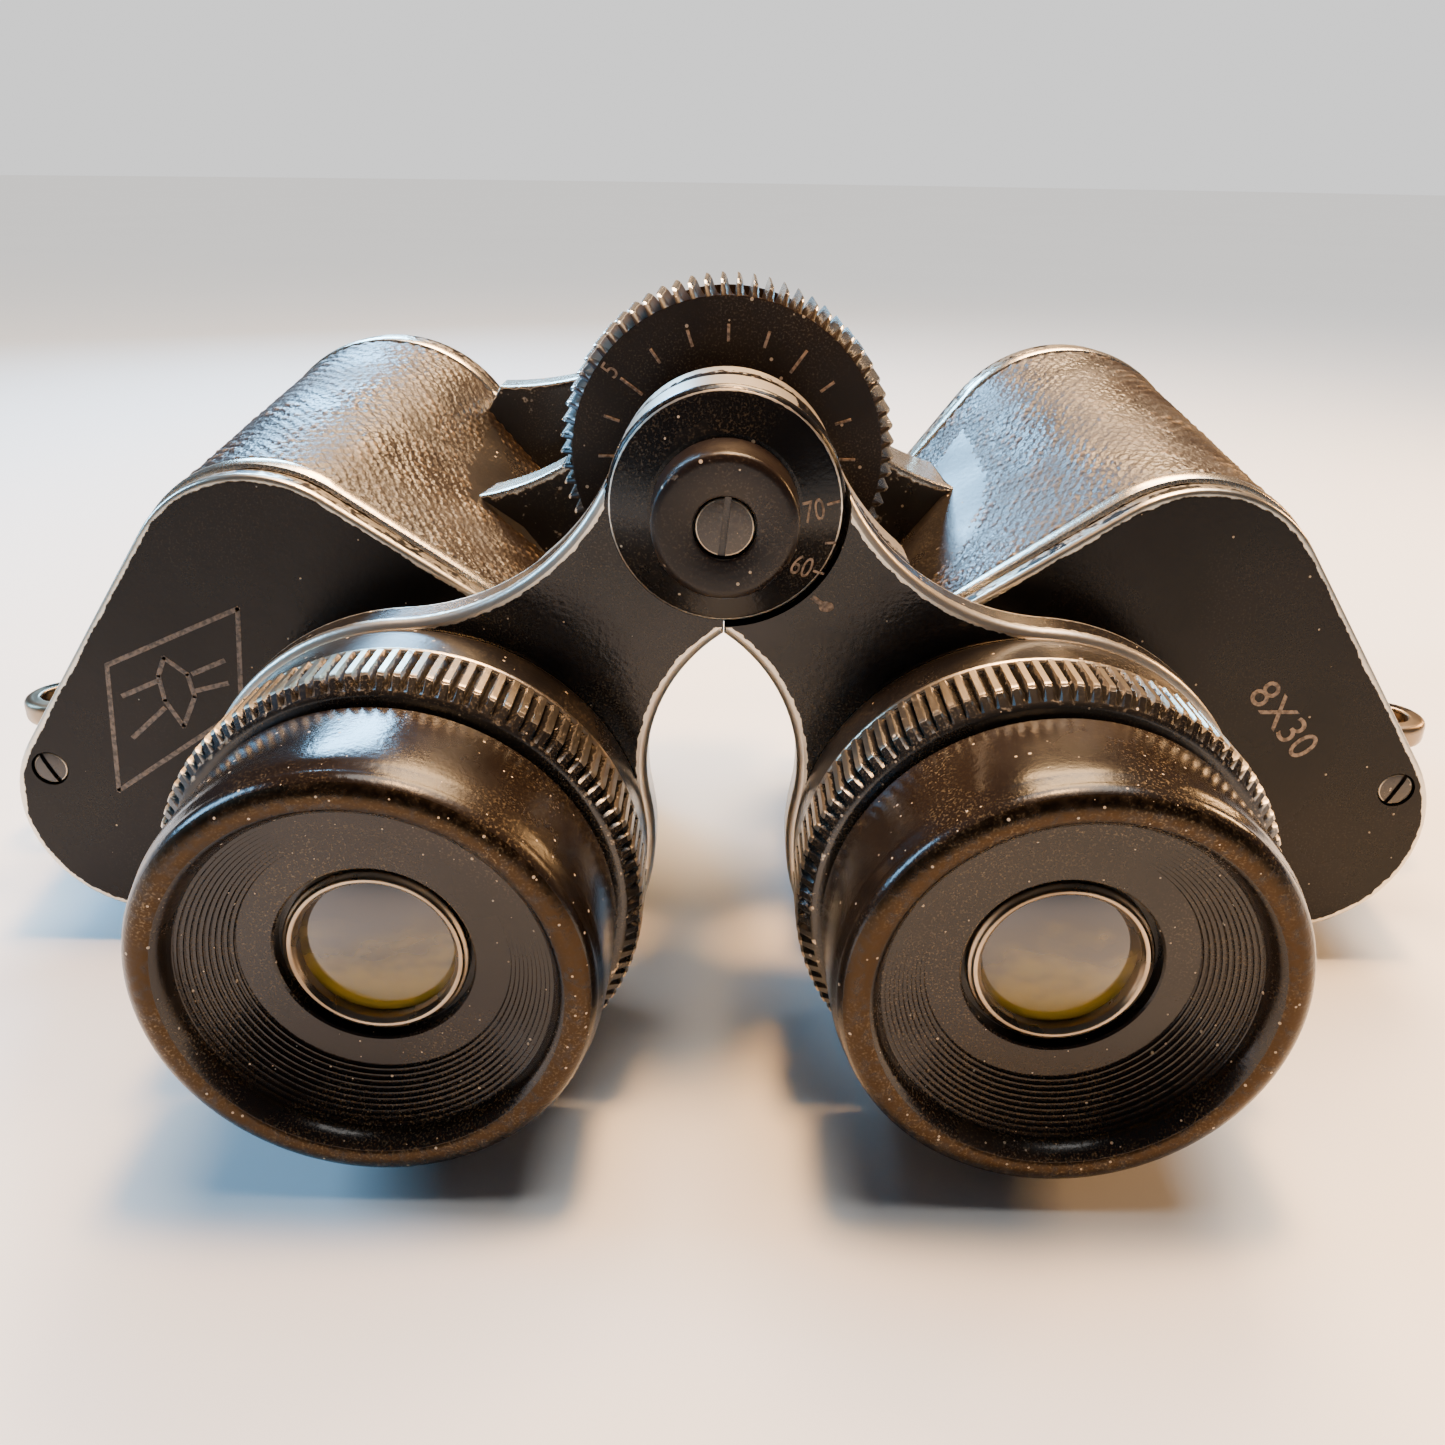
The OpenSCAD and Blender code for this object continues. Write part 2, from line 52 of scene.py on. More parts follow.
home = Vector((hingeJoint["pos_m"][0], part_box("right_housing")[0].y, hingeJoint["pos_m"][2]))


def middle(node):
    low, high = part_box(node)
    centre = ((low + high) / 2 - home) / mm
    return (centre.x, centre.z)


hingeAxis = (0.0, 0.0)
eyeAxis = middle("right_eyecup")
lensAxis = middle("right_objective_barrel")
sideNames = ((1, "right"), (-1, "left"))
print("frame loaded, eyepiece axis", eyeAxis, "objective axis", lensAxis)


def clearSelection():
    active = bpy.context.view_layer.objects.active
    if active and active.mode != "OBJECT":
        bpy.ops.object.mode_set(mode="OBJECT")
    bpy.ops.object.select_all(action="DESELECT")


def pick(piece):
    clearSelection()
    piece.select_set(True)
    bpy.context.view_layer.objects.active = piece


def tidyMesh(piece, fill=False):
    # doubles merged first, then the open ends closed, then the faces turned outwards
    pick(piece)
    bpy.ops.object.mode_set(mode="EDIT")
    bpy.ops.mesh.select_all(action="SELECT")
    bpy.ops.mesh.remove_doubles(threshold=0.001)
    if fill:
        bpy.ops.mesh.fill_holes(sides=0)
    bpy.ops.mesh.normals_make_consistent(inside=False)
    bpy.ops.object.mode_set(mode="OBJECT")


def setWorn(piece, wornAt):
    # how far handling has rubbed the finish through, 0 to 1, kept on each vertex
    worn = piece.data.attributes.get("worn") or piece.data.attributes.new("worn", "FLOAT", "POINT")
    for vertex, entry in zip(piece.data.vertices, worn.data):
        entry.value = wornAt(vertex.co)


def softened(corners, reach=0.25):
    # (radius, y[, softness]) corners: each soft one becomes a short arc between two support points
    points = []
    count = len(corners)
    for i, corner in enumerate(corners):
        here = Vector(corner[:2])
        soft = corner[2] if len(corner) > 2 else 0
        if not soft:
            points.append((here.x, here.y, 0.0))
            continue
        before = (Vector(corners[i - 1][:2]) - here).normalized()
        after = (Vector(corners[(i + 1) % count][:2]) - here).normalized()
        start, end = here + before * soft, here + after * soft
        points.append((*(start + before * soft * reach), 0.15))
        for t in (0, 0.25, 0.5, 0.75, 1):
            bent = start * (1 - t) ** 2 + here * 2 * t * (1 - t) + end * t * t
            points.append((*bent, 1.0))
        points.append((*(end + after * soft * reach), 0.15))
    return points


def turnedPiece(name, axis, corners, steps=96, ring=True):
    # a row of vertices is pulled out of one point along the profile, then spun round the axis;
    # a ring's profile comes back to its own start, the others start and end on the axis
    points = softened(corners)
    path = points + points[:1] if ring else points
    clearSelection()
    start = (axis[0] + path[0][0], path[0][1], axis[1])
    bpy.ops.mesh.primitive_plane_add(size=0.05, location=start)
    piece = bpy.context.object
    piece.name = name
    bpy.ops.object.transform_apply(location=True)
    bpy.ops.object.mode_set(mode="EDIT")
    bpy.ops.mesh.merge(type="CENTER")
    for before, after in zip(path, path[1:]):
        step = (after[0] - before[0], after[1] - before[1], 0)
        bpy.ops.mesh.extrude_region_move(TRANSFORM_OT_translate={"value": step})
    bpy.ops.mesh.select_all(action="SELECT")
    bpy.ops.mesh.spin(steps=steps, angle=math.tau, center=(axis[0], 0, axis[1]), axis=(0, 1, 0))
    bpy.ops.object.mode_set(mode="OBJECT")
    tidyMesh(piece)

    def wornAt(place):
        radius = fromAxis(place, axis)
        return min(points, key=lambda p: (p[0] - radius) ** 2 + (p[1] - place.y) ** 2)[2]

    setWorn(piece, wornAt)
    return piece


def wrappedPiece(name, loops, worn, ring=False):
    # a grid wrapped round into a sleeve through the loops; its ends are closed, or meet in a ring
    if ring:
        loops, worn = loops + loops[:1], worn + worn[:1]
    around, rows = len(loops[0]), len(loops)
    clearSelection()
    bpy.ops.mesh.primitive_grid_add(x_subdivisions=around, y_subdivisions=rows - 1, size=1)
    piece = bpy.context.object
    piece.name = name
    values = piece.data.attributes.new("worn", "FLOAT", "POINT")
    for vertex, value in zip(piece.data.vertices, values.data):
        column = round((vertex.co.x + 0.5) * around) % around
        row = round((vertex.co.y + 0.5) * (rows - 1))
        vertex.co = loops[row][column]
        value.value = worn[row]
    tidyMesh(piece, fill=not ring)
    return piece


def carve(piece, tools, how="DIFFERENCE"):
    for tool in tools:
        pick(piece)
        bpy.ops.object.modifier_add(type="BOOLEAN")
        cut = piece.modifiers[-1]
        cut.operation, cut.object, cut.solver = how, tool, "EXACT"
        bpy.ops.object.modifier_apply(modifier=cut.name)
        mesh = tool.data
        bpy.data.objects.remove(tool)
        bpy.data.meshes.remove(mesh)
    return piece


def rodTool(axis, back, front, radius, steps=96):
    clearSelection()
    bpy.ops.mesh.primitive_cylinder_add(
        vertices=steps, radius=radius, depth=front - back,
        location=(axis[0], (back + front) / 2, axis[1]), rotation=(math.radians(90), 0, 0))
    bpy.ops.object.transform_apply(location=True, rotation=True)
    return bpy.context.object


def blockTool(low, high, turn=0.0):
    clearSelection()
    size = Vector(high) - Vector(low)
    bpy.ops.mesh.primitive_cube_add(size=1, location=(Vector(high) + Vector(low)) / 2)
    block = bpy.context.object
    block.scale = size
    block.rotation_euler = (0, turn, 0)
    bpy.ops.object.transform_apply(location=True, rotation=True, scale=True)
    return block


def copied(piece, name, place=(0, 0, 0), turn=(0, 0, 0), size=(1, 1, 1)):
    pick(piece)
    bpy.ops.object.duplicate(linked=False)
    twin = bpy.context.object
    twin.name = name
    twin.location, twin.rotation_euler, twin.scale = place, turn, size
    bpy.ops.object.transform_apply(location=True, rotation=True, scale=True)
    return twin


def joined(pieces, name):
    clearSelection()
    for piece in pieces:
        piece.select_set(True)
    bpy.context.view_layer.objects.active = pieces[0]
    bpy.ops.object.join()
    pieces[0].name = name
    return pieces[0]


def finishPiece(piece, name, body, finish, nodes=(), side=1, smooth=34, crisp=False):
    # to metres and into place, mirrored for the left half, smoothed, and given to its body
    pick(piece)
    piece.name = piece.data.name = name
    piece.scale = (side * mm, mm, mm)
    piece.location = home
    bpy.ops.object.transform_apply(location=True, rotation=True, scale=True)
    bpy.ops.object.mode_set(mode="EDIT")
    bpy.ops.mesh.select_all(action="SELECT")
    bpy.ops.mesh.normals_make_consistent(inside=False)
    bpy.ops.object.mode_set(mode="OBJECT")
    bpy.ops.object.shade_smooth_by_angle(angle=math.radians(smooth))
    if crisp:
        crispFlats(piece)
    bpy.ops.object.modifier_add(type="WEIGHTED_NORMAL")
    piece.modifiers[-1].keep_sharp = True
    bpy.ops.object.modifier_apply(modifier=piece.modifiers[-1].name)
    piece.data.materials.clear()
    piece.data.materials.append(finish)
    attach(piece, body)
    if nodes:
        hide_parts(*nodes)
    return piece


def finishPair(piece, name, body, finish, node, smooth=34):
    # the right-hand piece, and its mirrored copy for the left half; the right eyepiece has a body
    # of its own, while the left one is part of its bridge arm
    left = copied(piece, "left" + name)
    for side, sideName, one in ((1, "right", piece), (-1, "left", left)):
        rides = "left_bridge" if (sideName, body) == ("left", "ocular") else sideName + "_" + body
        finishPiece(one, sideName + name, rides, finish, (sideName + "_" + node,), side, smooth)


def fromAxis(place, axis):
    return math.hypot(place.x - axis[0], place.z - axis[1])


def arcPoints(centre, radius, first, last, count):
    turns = [math.radians(first + (last - first) * i / count) for i in range(count + 1)]
    return [(centre[0] + radius * math.cos(a), centre[1] + radius * math.sin(a)) for a in turns]


def angleTo(start, end):
    return math.degrees(math.atan2(end[1] - start[1], end[0] - start[0]))


def evenly(points, count):
    # the same closed outline with evenly spaced points
    lengths = [math.dist(a, b) for a, b in zip(points, points[1:] + points[:1])]
    total, spaced, walked, i = sum(lengths), [], 0.0, 0
    for k in range(count):
        target = total * k / count
        while walked + lengths[i] < target:
            walked += lengths[i]
            i += 1
        share = (target - walked) / max(lengths[i], 1e-9)
        a, b = points[i], points[(i + 1) % len(points)]
        spaced.append((a[0] + (b[0] - a[0]) * share, a[1] + (b[1] - a[1]) * share))
    return spaced



def newGroup(name, inputs, outputs):
    tree = bpy.data.node_groups.new(name, "ShaderNodeTree")
    for label, value in inputs.items():
        socket = tree.interface.new_socket(name=label, in_out="INPUT", socket_type="NodeSocketFloat")
        socket.default_value = value
    for label in outputs:
        tree.interface.new_socket(name=label, in_out="OUTPUT", socket_type="NodeSocketFloat")
    return tree, tree.nodes.new("NodeGroupInput").outputs, tree.nodes.new("NodeGroupOutput").inputs


def feed(tree, socket, value):
    if isinstance(value, bpy.types.NodeSocket):
        tree.links.new(value, socket)
    else:
        socket.default_value = value


def maths(tree, operation, *values):
    node = tree.nodes.new("ShaderNodeMath")
    node.operation = operation
    for socket, value in zip(node.inputs, values):
        feed(tree, socket, value)
    return node.outputs[0]


def noisePattern(tree, scale, detail=3.0, stretch=(1, 1, 1)):
    place = tree.nodes.new("ShaderNodeTexCoord").outputs["Object"]
    if stretch != (1, 1, 1):
        mapping = tree.nodes.new("ShaderNodeMapping")
        mapping.inputs["Scale"].default_value = stretch
        tree.links.new(place, mapping.inputs["Vector"])
        place = mapping.outputs[0]
    node = tree.nodes.new("ShaderNodeTexNoise")
    tree.links.new(place, node.inputs["Vector"])
    feed(tree, node.inputs["Scale"], scale)
    node.inputs["Detail"].default_value = detail
    return node.outputs["Fac"]


def ramped(tree, value, low, high, start=0.0, end=1.0):
    node = tree.nodes.new("ShaderNodeMapRange")
    node.interpolation_type = "SMOOTHSTEP"
    for socket, entry in zip(node.inputs, (value, low, high, start, end)):
        feed(tree, socket, entry)
    return node.outputs[0]


def blended(tree, share, first, second):
    node = tree.nodes.new("ShaderNodeMix")
    node.data_type = "RGBA"
    feed(tree, node.inputs[0], share)
    feed(tree, node.inputs[6], first)
    feed(tree, node.inputs[7], second)
    return node.outputs[2]


def makeWornEdges():
    # bare metal where the worn attribute is high, with a ragged, broken border
    tree, given, put = newGroup("wornEdges", {"Amount": 0.5, "Scale": 1500.0, "Ragged": 0.8,
                                              "Breaks": 0.3}, ["Mask"])
    worn = tree.nodes.new("ShaderNodeAttribute")
    worn.attribute_name = "worn"
    fine = maths(tree, "SUBTRACT", noisePattern(tree, given["Scale"], 4), 0.5)
    broad = maths(tree, "SUBTRACT", noisePattern(tree, maths(tree, "MULTIPLY", given["Scale"], 0.2)), 0.45)
    level = maths(tree, "ADD", worn.outputs["Fac"], maths(tree, "MULTIPLY", fine, given["Ragged"]))
    level = maths(tree, "SUBTRACT", level, maths(tree, "MULTIPLY", broad,
                                                 maths(tree, "MULTIPLY", given["Breaks"], 4.0)))
    edge = maths(tree, "SUBTRACT", 1.0, given["Amount"])
    mask = ramped(tree, level, maths(tree, "SUBTRACT", edge, 0.08), maths(tree, "ADD", edge, 0.08))
    tree.links.new(mask, put["Mask"])
    return tree


def makeDust():
    # scattered pale specks, and a finer haze of dust between them
    tree, given, put = newGroup("settledDust", {"Scale": 1100.0, "Share": 0.3, "Size": 0.16,
                                                "Haze": 0.3}, ["Specks", "Haze"])
    place = tree.nodes.new("ShaderNodeTexCoord").outputs["Object"]
    cells = tree.nodes.new("ShaderNodeTexVoronoi")
    tree.links.new(place, cells.inputs["Vector"])
    tree.links.new(given["Scale"], cells.inputs["Scale"])
    pickOne = tree.nodes.new("ShaderNodeSeparateColor")
    tree.links.new(cells.outputs["Color"], pickOne.inputs[0])
    chosen = maths(tree, "LESS_THAN", pickOne.outputs[0], given["Share"])
    size = maths(tree, "MULTIPLY", given["Size"], maths(tree, "ADD", 0.35, pickOne.outputs[1]))
    dot = maths(tree, "LESS_THAN", cells.outputs["Distance"], size)
    tree.links.new(maths(tree, "MULTIPLY", chosen, dot), put["Specks"])
    fine = ramped(tree, noisePattern(tree, 5200.0, 2), 0.5, 0.78)
    patches = ramped(tree, noisePattern(tree, 110.0, 3), 0.38, 0.68)
    haze = maths(tree, "MULTIPLY", maths(tree, "MULTIPLY", fine, patches), given["Haze"])
    tree.links.new(haze, put["Haze"])
    return tree


def makeHandled():
    # slow changes of gloss and tone where hands have been
    tree, given, put = newGroup("handledGloss", {"Scale": 90.0, "Low": 0.25, "High": 0.5}, ["Rough", "Tone"])
    slow = noisePattern(tree, given["Scale"], 5)
    tree.links.new(ramped(tree, slow, 0.3, 0.7, given["Low"], given["High"]), put["Rough"])
    tree.links.new(ramped(tree, noisePattern(tree, maths(tree, "MULTIPLY", given["Scale"], 0.6)), 0.35, 0.65),
                   put["Tone"])
    return tree


wornEdges, settledDust, handledGloss = makeWornEdges(), makeDust(), makeHandled()


def grouped(tree, group, **values):
    node = tree.nodes.new("ShaderNodeGroup")
    node.node_tree = group
    for label, value in values.items():
        feed(tree, node.inputs[label], value)
    return node.outputs


def newFinish(name):
    finish = bpy.data.materials.new(name)
    finish.use_nodes = True
    return finish, finish.node_tree, finish.node_tree.nodes["Principled BSDF"]


def bumped(tree, shader, height, distance, strength=1.0):
    node = tree.nodes.new("ShaderNodeBump")
    node.inputs["Distance"].default_value = distance
    node.inputs["Strength"].default_value = strength
    tree.links.new(height, node.inputs["Height"])
    tree.links.new(node.outputs[0], shader.inputs["Normal"])


def paintedMetal(name, values):
    # paint over metal: two close tones, uneven gloss, dust, and bare metal on the worn edges
    finish, tree, shader = newFinish(name)
    handled = grouped(tree, handledGloss, Scale=values.get("handling", 90.0), Low=values["rough"][0],
                      High=values["rough"][1])
    dust = grouped(tree, settledDust, Scale=values.get("speckScale", 1100.0), Share=values.get("specks", 0.2),
                   Size=values.get("speckSize", 0.13), Haze=values.get("haze", 0.25))
    bare = grouped(tree, wornEdges, Amount=values.get("wear", 0.45), Scale=values.get("wearScale", 1500.0),
                   Ragged=values.get("ragged", 0.8), Breaks=values.get("breaks", 0.2))["Mask"]
    paint = blended(tree, handled["Tone"], values["dark"], values["light"])
    colour = blended(tree, bare, paint, values["metal"])
    colour = blended(tree, dust["Haze"], colour, values.get("dustTone", (0.42, 0.33, 0.22, 1)))
    colour = blended(tree, maths(tree, "MULTIPLY", dust["Specks"], 0.75), colour, (0.62, 0.5, 0.36, 1))
    clean = maths(tree, "SUBTRACT", 1.0, maths(tree, "MAXIMUM", dust["Specks"], dust["Haze"]))
    rough = maths(tree, "ADD", maths(tree, "MULTIPLY", handled["Rough"], maths(tree, "SUBTRACT", 1.0, bare)),
                  maths(tree, "MULTIPLY", bare, values.get("metalRough", 0.3)))
    rough = maths(tree, "ADD", rough, maths(tree, "MULTIPLY", maths(tree, "SUBTRACT", 1.0, clean), 0.35))
    tree.links.new(colour, shader.inputs["Base Color"])
    tree.links.new(rough, shader.inputs["Roughness"])
    tree.links.new(maths(tree, "MULTIPLY", bare, clean), shader.inputs["Metallic"])
    shader.inputs["Specular IOR Level"].default_value = values.get("specular", 0.5)
    height = maths(tree, "SUBTRACT", maths(tree, "MULTIPLY", noisePattern(tree, values.get("grain", 2600.0),
        3), 0.6),
                   maths(tree, "MULTIPLY", bare, 0.5))
    height = maths(tree, "ADD", height, maths(tree, "MULTIPLY", dust["Specks"], 0.8))
    bumped(tree, shader, height, values.get("bump", 0.00003))
    return finish


def plainMetal(name, values):
    # turned or drawn metal: fine streaks round it, tarnish and a little dust
    finish, tree, shader = newFinish(name)
    handled = grouped(tree, handledGloss, Scale=values.get("handling", 160.0), Low=values["rough"][0],
                      High=values["rough"][1])
    colour = blended(tree, handled["Tone"], values["dark"], values["light"])
    dust = grouped(tree, settledDust, Scale=1400.0, Share=0.15, Size=0.12, Haze=values.get("haze", 0.2))
    colour = blended(tree, dust["Haze"], colour, (0.3, 0.24, 0.17, 1))
    streaks = noisePattern(tree, 900.0, 4, values.get("streaks", (1, 8, 1)))
    tree.links.new(colour, shader.inputs["Base Color"])
    tree.links.new(handled["Rough"], shader.inputs["Roughness"])
    shader.inputs["Metallic"].default_value = values.get("metallic", 1.0)
    bumped(tree, shader, streaks, 0.00002)
    return finish


def glassFinish(name, values):
    # coated glass with smears on it
    finish, tree, shader = newFinish(name)
    handled = grouped(tree, handledGloss, Scale=140.0, Low=0.01, High=values.get("smear", 0.06))
    tree.links.new(blended(tree, handled["Tone"], values["tint"], values["tintDeep"]),
                   shader.inputs["Base Color"])
    tree.links.new(handled["Rough"], shader.inputs["Roughness"])
    shader.inputs["Transmission Weight"].default_value = values.get("clear", 1.0)
    shader.inputs["IOR"].default_value = 1.52
    shader.inputs["Coat Weight"].default_value = values.get("coat", 0.3)
    shader.inputs["Coat Roughness"].default_value = 0.02
    shader.inputs["Coat Tint"].default_value = values.get("coatTint", (1, 1, 1, 1))
    return finish


brass = (0.6, 0.45, 0.24, 1)
bridgeEnamel = paintedMetal("bridgeEnamel", {
    "dark": (0.0035, 0.0035, 0.004, 1), "light": (0.009, 0.008, 0.0075, 1), "metal": (0.62, 0.57, 0.49, 1),
    "rough": (0.14, 0.3), "wear": 0.6, "ragged": 1.1, "breaks": 0.12, "specks": 0.2, "haze": 0.16,
    "metalRough": 0.36, "specular": 0.3})
coverPaint = paintedMetal("coverPaint", {
    "dark": (0.0035, 0.003, 0.003, 1), "light": (0.008, 0.006, 0.0055, 1), "metal": (0.6, 0.55, 0.46, 1),
    "rough": (0.22, 0.36), "wear": 0.6, "ragged": 0.7, "breaks": 0.2, "specks": 0.05, "haze": 0.06,
    "metalRough": 0.3, "specular": 0.16})
castBody = paintedMetal("castBody", {
    "dark": (0.006, 0.005, 0.005, 1), "light": (0.013, 0.011, 0.01, 1), "metal": (0.66, 0.6, 0.5, 1),
    "rough": (0.25, 0.42), "wear": 0.72, "ragged": 0.9, "breaks": 0.16, "specks": 0.12, "haze": 0.2,
    "metalRough": 0.27, "grain": 1500.0, "bump": 0.00005})
barrelPaint = paintedMetal("barrelPaint", {
    "dark": (0.005, 0.005, 0.0055, 1), "light": (0.011, 0.01, 0.01, 1), "metal": brass,
    "rough": (0.2, 0.38), "wear": 0.5, "ragged": 0.9, "breaks": 0.3, "specks": 0.15, "haze": 0.15})
eyecupBakelite = paintedMetal("eyecupBakelite", {
    "dark": (0.006, 0.004, 0.003, 1), "light": (0.014, 0.009, 0.006, 1), "metal": (0.035, 0.022, 0.012, 1),
    "rough": (0.14, 0.3), "wear": 0.05, "ragged": 0.3, "breaks": 0.0, "specks": 0.34, "haze": 0.36,
    "specular": 0.32,
    "speckSize": 0.12, "speckScale": 1300.0, "dustTone": (0.3, 0.22, 0.12, 1)})
ringEnamel = paintedMetal("ringEnamel", {
    "dark": (0.006, 0.005, 0.005, 1), "light": (0.014, 0.012, 0.01, 1), "metal": (0.5, 0.42, 0.32, 1),
    "rough": (0.2, 0.36), "wear": 0.5, "ragged": 1.0, "breaks": 0.1, "specks": 0.25, "haze": 0.3,
    "metalRough": 0.32})
wheelEnamel = paintedMetal("wheelEnamel", {
    "dark": (0.006, 0.0035, 0.0025, 1), "light": (0.014, 0.008, 0.005, 1), "metal": (0.78, 0.76, 0.7, 1),
    "rough": (0.3, 0.46), "wear": 0.55, "ragged": 0.7, "breaks": 0.08, "specks": 0.2, "haze": 0.22,
    "metalRough": 0.22, "specular": 0.2})
capEnamel = paintedMetal("capEnamel", {
    "dark": (0.006, 0.0035, 0.003, 1), "light": (0.012, 0.007, 0.005, 1), "metal": (0.3, 0.25, 0.2, 1),
    "rough": (0.26, 0.4), "wear": 0.22, "ragged": 0.9, "breaks": 0.25, "specks": 0.16, "haze": 0.14,
    "specular": 0.25})
blackAnodised = paintedMetal("blackAnodised", {
    "dark": (0.004, 0.004, 0.004, 1), "light": (0.008, 0.007, 0.006, 1), "metal": (0.4, 0.36, 0.3, 1),
    "rough": (0.3, 0.5), "wear": 0.3, "ragged": 0.7, "breaks": 0.3, "specks": 0.15, "haze": 0.15})
darkScrews = paintedMetal("darkScrews", {
    "dark": (0.018, 0.014, 0.011, 1), "light": (0.04, 0.03, 0.022, 1), "metal": (0.36, 0.31, 0.24, 1),
    "rough": (0.25, 0.45), "wear": 0.5, "ragged": 0.9, "breaks": 0.2, "specks": 0.1, "haze": 0.2})
steelShaft = plainMetal("steelShaft", {"dark": (0.32, 0.31, 0.3, 1), "light": (0.5, 0.48, 0.45, 1),
                                       "rough": (0.2, 0.42)})
nickelTrim = plainMetal("nickelTrim", {"dark": (0.2, 0.15, 0.1, 1), "light": (0.4, 0.32, 0.23, 1),
                                       "rough": (0.2, 0.42)})
bareAluminium = plainMetal("bareAluminium", {"dark": (0.5, 0.5, 0.5, 1), "light": (0.68, 0.68, 0.67, 1),
                                             "rough": (0.35, 0.55)})
springBrass = plainMetal("springBrass", {"dark": (0.5, 0.34, 0.12, 1), "light": (0.72, 0.52, 0.24, 1),
                                         "rough": (0.25, 0.45)})
prismGlass = glassFinish("prismGlass", {"tint": (0.86, 0.95, 0.93, 1), "tintDeep": (0.78, 0.9, 0.9, 1)})
coatedGlass = glassFinish("coatedGlass", {"tint": (0.8, 0.86, 0.98, 1), "tintDeep": (0.7, 0.78, 0.95, 1),
                                          "coat": 0.6,
                                          "coatTint": (0.75, 0.7, 1, 1)})


def makeLeather():
    # leatherette: the pebbles are in the mesh, with finer pores and a painted highlight on the pebble tops in
    # the finish
    finish, tree, shader = newFinish("leatherette")
    handled = grouped(tree, handledGloss, Scale=120.0, Low=0.3, High=0.5)
    dust = grouped(tree, settledDust, Scale=1500.0, Share=0.3, Size=0.14, Haze=0.22)
    tops = tree.nodes.new("ShaderNodeAttribute")
    tops.attribute_name = "pebble"
    colour = blended(tree, handled["Tone"], (0.010, 0.007, 0.005, 1), (0.018, 0.012, 0.008, 1))
    # painted highlight: the taller a pebble, the more its top is blended to pale tan
    colour = blended(tree, ramped(tree, tops.outputs["Fac"], 0.45, 0.95, 0.0, 0.85), colour,
                     (0.2, 0.145, 0.09, 1))
    colour = blended(tree, dust["Haze"], colour, (0.26, 0.2, 0.13, 1))
    tree.links.new(colour, shader.inputs["Base Color"])
    tree.links.new(handled["Rough"], shader.inputs["Roughness"])
    shader.inputs["Specular IOR Level"].default_value = 0.6
    pores = tree.nodes.new("ShaderNodeTexVoronoi")
    place = tree.nodes.new("ShaderNodeTexCoord")
    tree.links.new(place.outputs["Object"], pores.inputs["Vector"])
    pores.inputs["Scale"].default_value = 2600.0
    bumped(tree, shader, pores.outputs["Distance"], 0.00006)
    return finish


def makeEyeGlass():
    # the eye lens has a painted olive and amber glow in its colour, standing for light through the prisms,
    # with painted shade towards its top
    finish, tree, shader = newFinish("eyeGlass")
    place = tree.nodes.new("ShaderNodeTexCoord")
    apart = tree.nodes.new("ShaderNodeSeparateXYZ")
    tree.links.new(place.outputs["Object"], apart.inputs[0])
    eyeHeight = home.z + eyeAxis[1] * mm
    drop = maths(tree, "MULTIPLY", maths(tree, "SUBTRACT", eyeHeight, apart.outputs["Z"]), 1 / (6 * mm))
    shapes = maths(tree, "MULTIPLY", maths(tree, "SUBTRACT", noisePattern(tree, 260.0, 2, (1, 0.2, 1.6)),
                                           0.5), 1.6)
    # painted glow: brighter lower down and in soft patches, darker towards the top as painted shade
    light = ramped(tree, maths(tree, "ADD", drop, shapes), -0.45, 0.6)
    colour = blended(tree, light, (0.01, 0.006, 0.003, 1), (0.22, 0.15, 0.012, 1))
    tree.links.new(colour, shader.inputs["Base Color"])
    tree.links.new(maths(tree, "MULTIPLY", noisePattern(tree, 300.0), 0.12), shader.inputs["Roughness"])
    shader.inputs["Transmission Weight"].default_value = 0.15
    shader.inputs["IOR"].default_value = 1.6
    shader.inputs["Coat Weight"].default_value = 0.6
    shader.inputs["Coat Roughness"].default_value = 0.03
    shader.inputs["Coat Tint"].default_value = (0.8, 0.85, 1, 1)
    return finish


def makeMarkPaint(name, tone, pale):
    # filled engraving, rubbed thin in places
    finish, tree, shader = newFinish(name)
    wornThin = ramped(tree, noisePattern(tree, 2400.0, 4), 0.35, 0.6)
    tree.links.new(blended(tree, wornThin, tone, pale), shader.inputs["Base Color"])
    shader.inputs["Roughness"].default_value = 0.55
    bumped(tree, shader, noisePattern(tree, 5000.0), 0.00002)
    return finish


leatherette, eyeGlass = makeLeather(), makeEyeGlass()
tanMarks = makeMarkPaint("tanMarks", (0.09, 0.06, 0.04, 1), (0.3, 0.215, 0.15, 1))
dimMarks = makeMarkPaint("dimMarks", (0.035, 0.026, 0.02, 1), (0.14, 0.105, 0.08, 1))
print("finishes made")

housing = {
    "length": 37.0, "rimProud": 0.9, "cornerPoints": 22,
    # centre and radius of each corner at the rear, and what is added to them at the front
    "corners": [(41.0, -12.3, 12.2), (55.3, -32.7, 12.0), (eyeAxis[0], eyeAxis[1], 17.0)],
    "swell": [(-3.5, 4.1, 2.1), (0.7, 1.2, 1.0), (0.0, 0.0, 0.0)],
    # station, height over the rims' line, and wear, from the rear rim to the front one
    "rims": [(0, -0.6, 0.1), (0, -0.38, 0.5), (0.1, -0.1, 1), (0.36, 0, 1), (0.8, 0.02, 0.9), (1.2, 0, 1),
             (1.42, -0.08, 1),
             (1.5, -0.3, 0.7), (1.5, -0.9, 0)],
    "rearScrews": [(63.3, -28.8), (22.5, -13.6), (38.0, -42.3)],
    "frontScrews": [(51.0, -8.5), (13.5, -37.0), (33.0, 1.5)],
}
web = {"lugRadius": 9.0, "lowFillet": 8.0, "rearLow": (29.6, -6.9), "frontLow": (25.0, 1.5),
       "boreRadius": 6.05,
       "outer": ((15.0, 20.0, "rearLow"), (32.0, 37.0, "frontLow")), "inner": ((20.1, 31.9, "rearLow"),)}


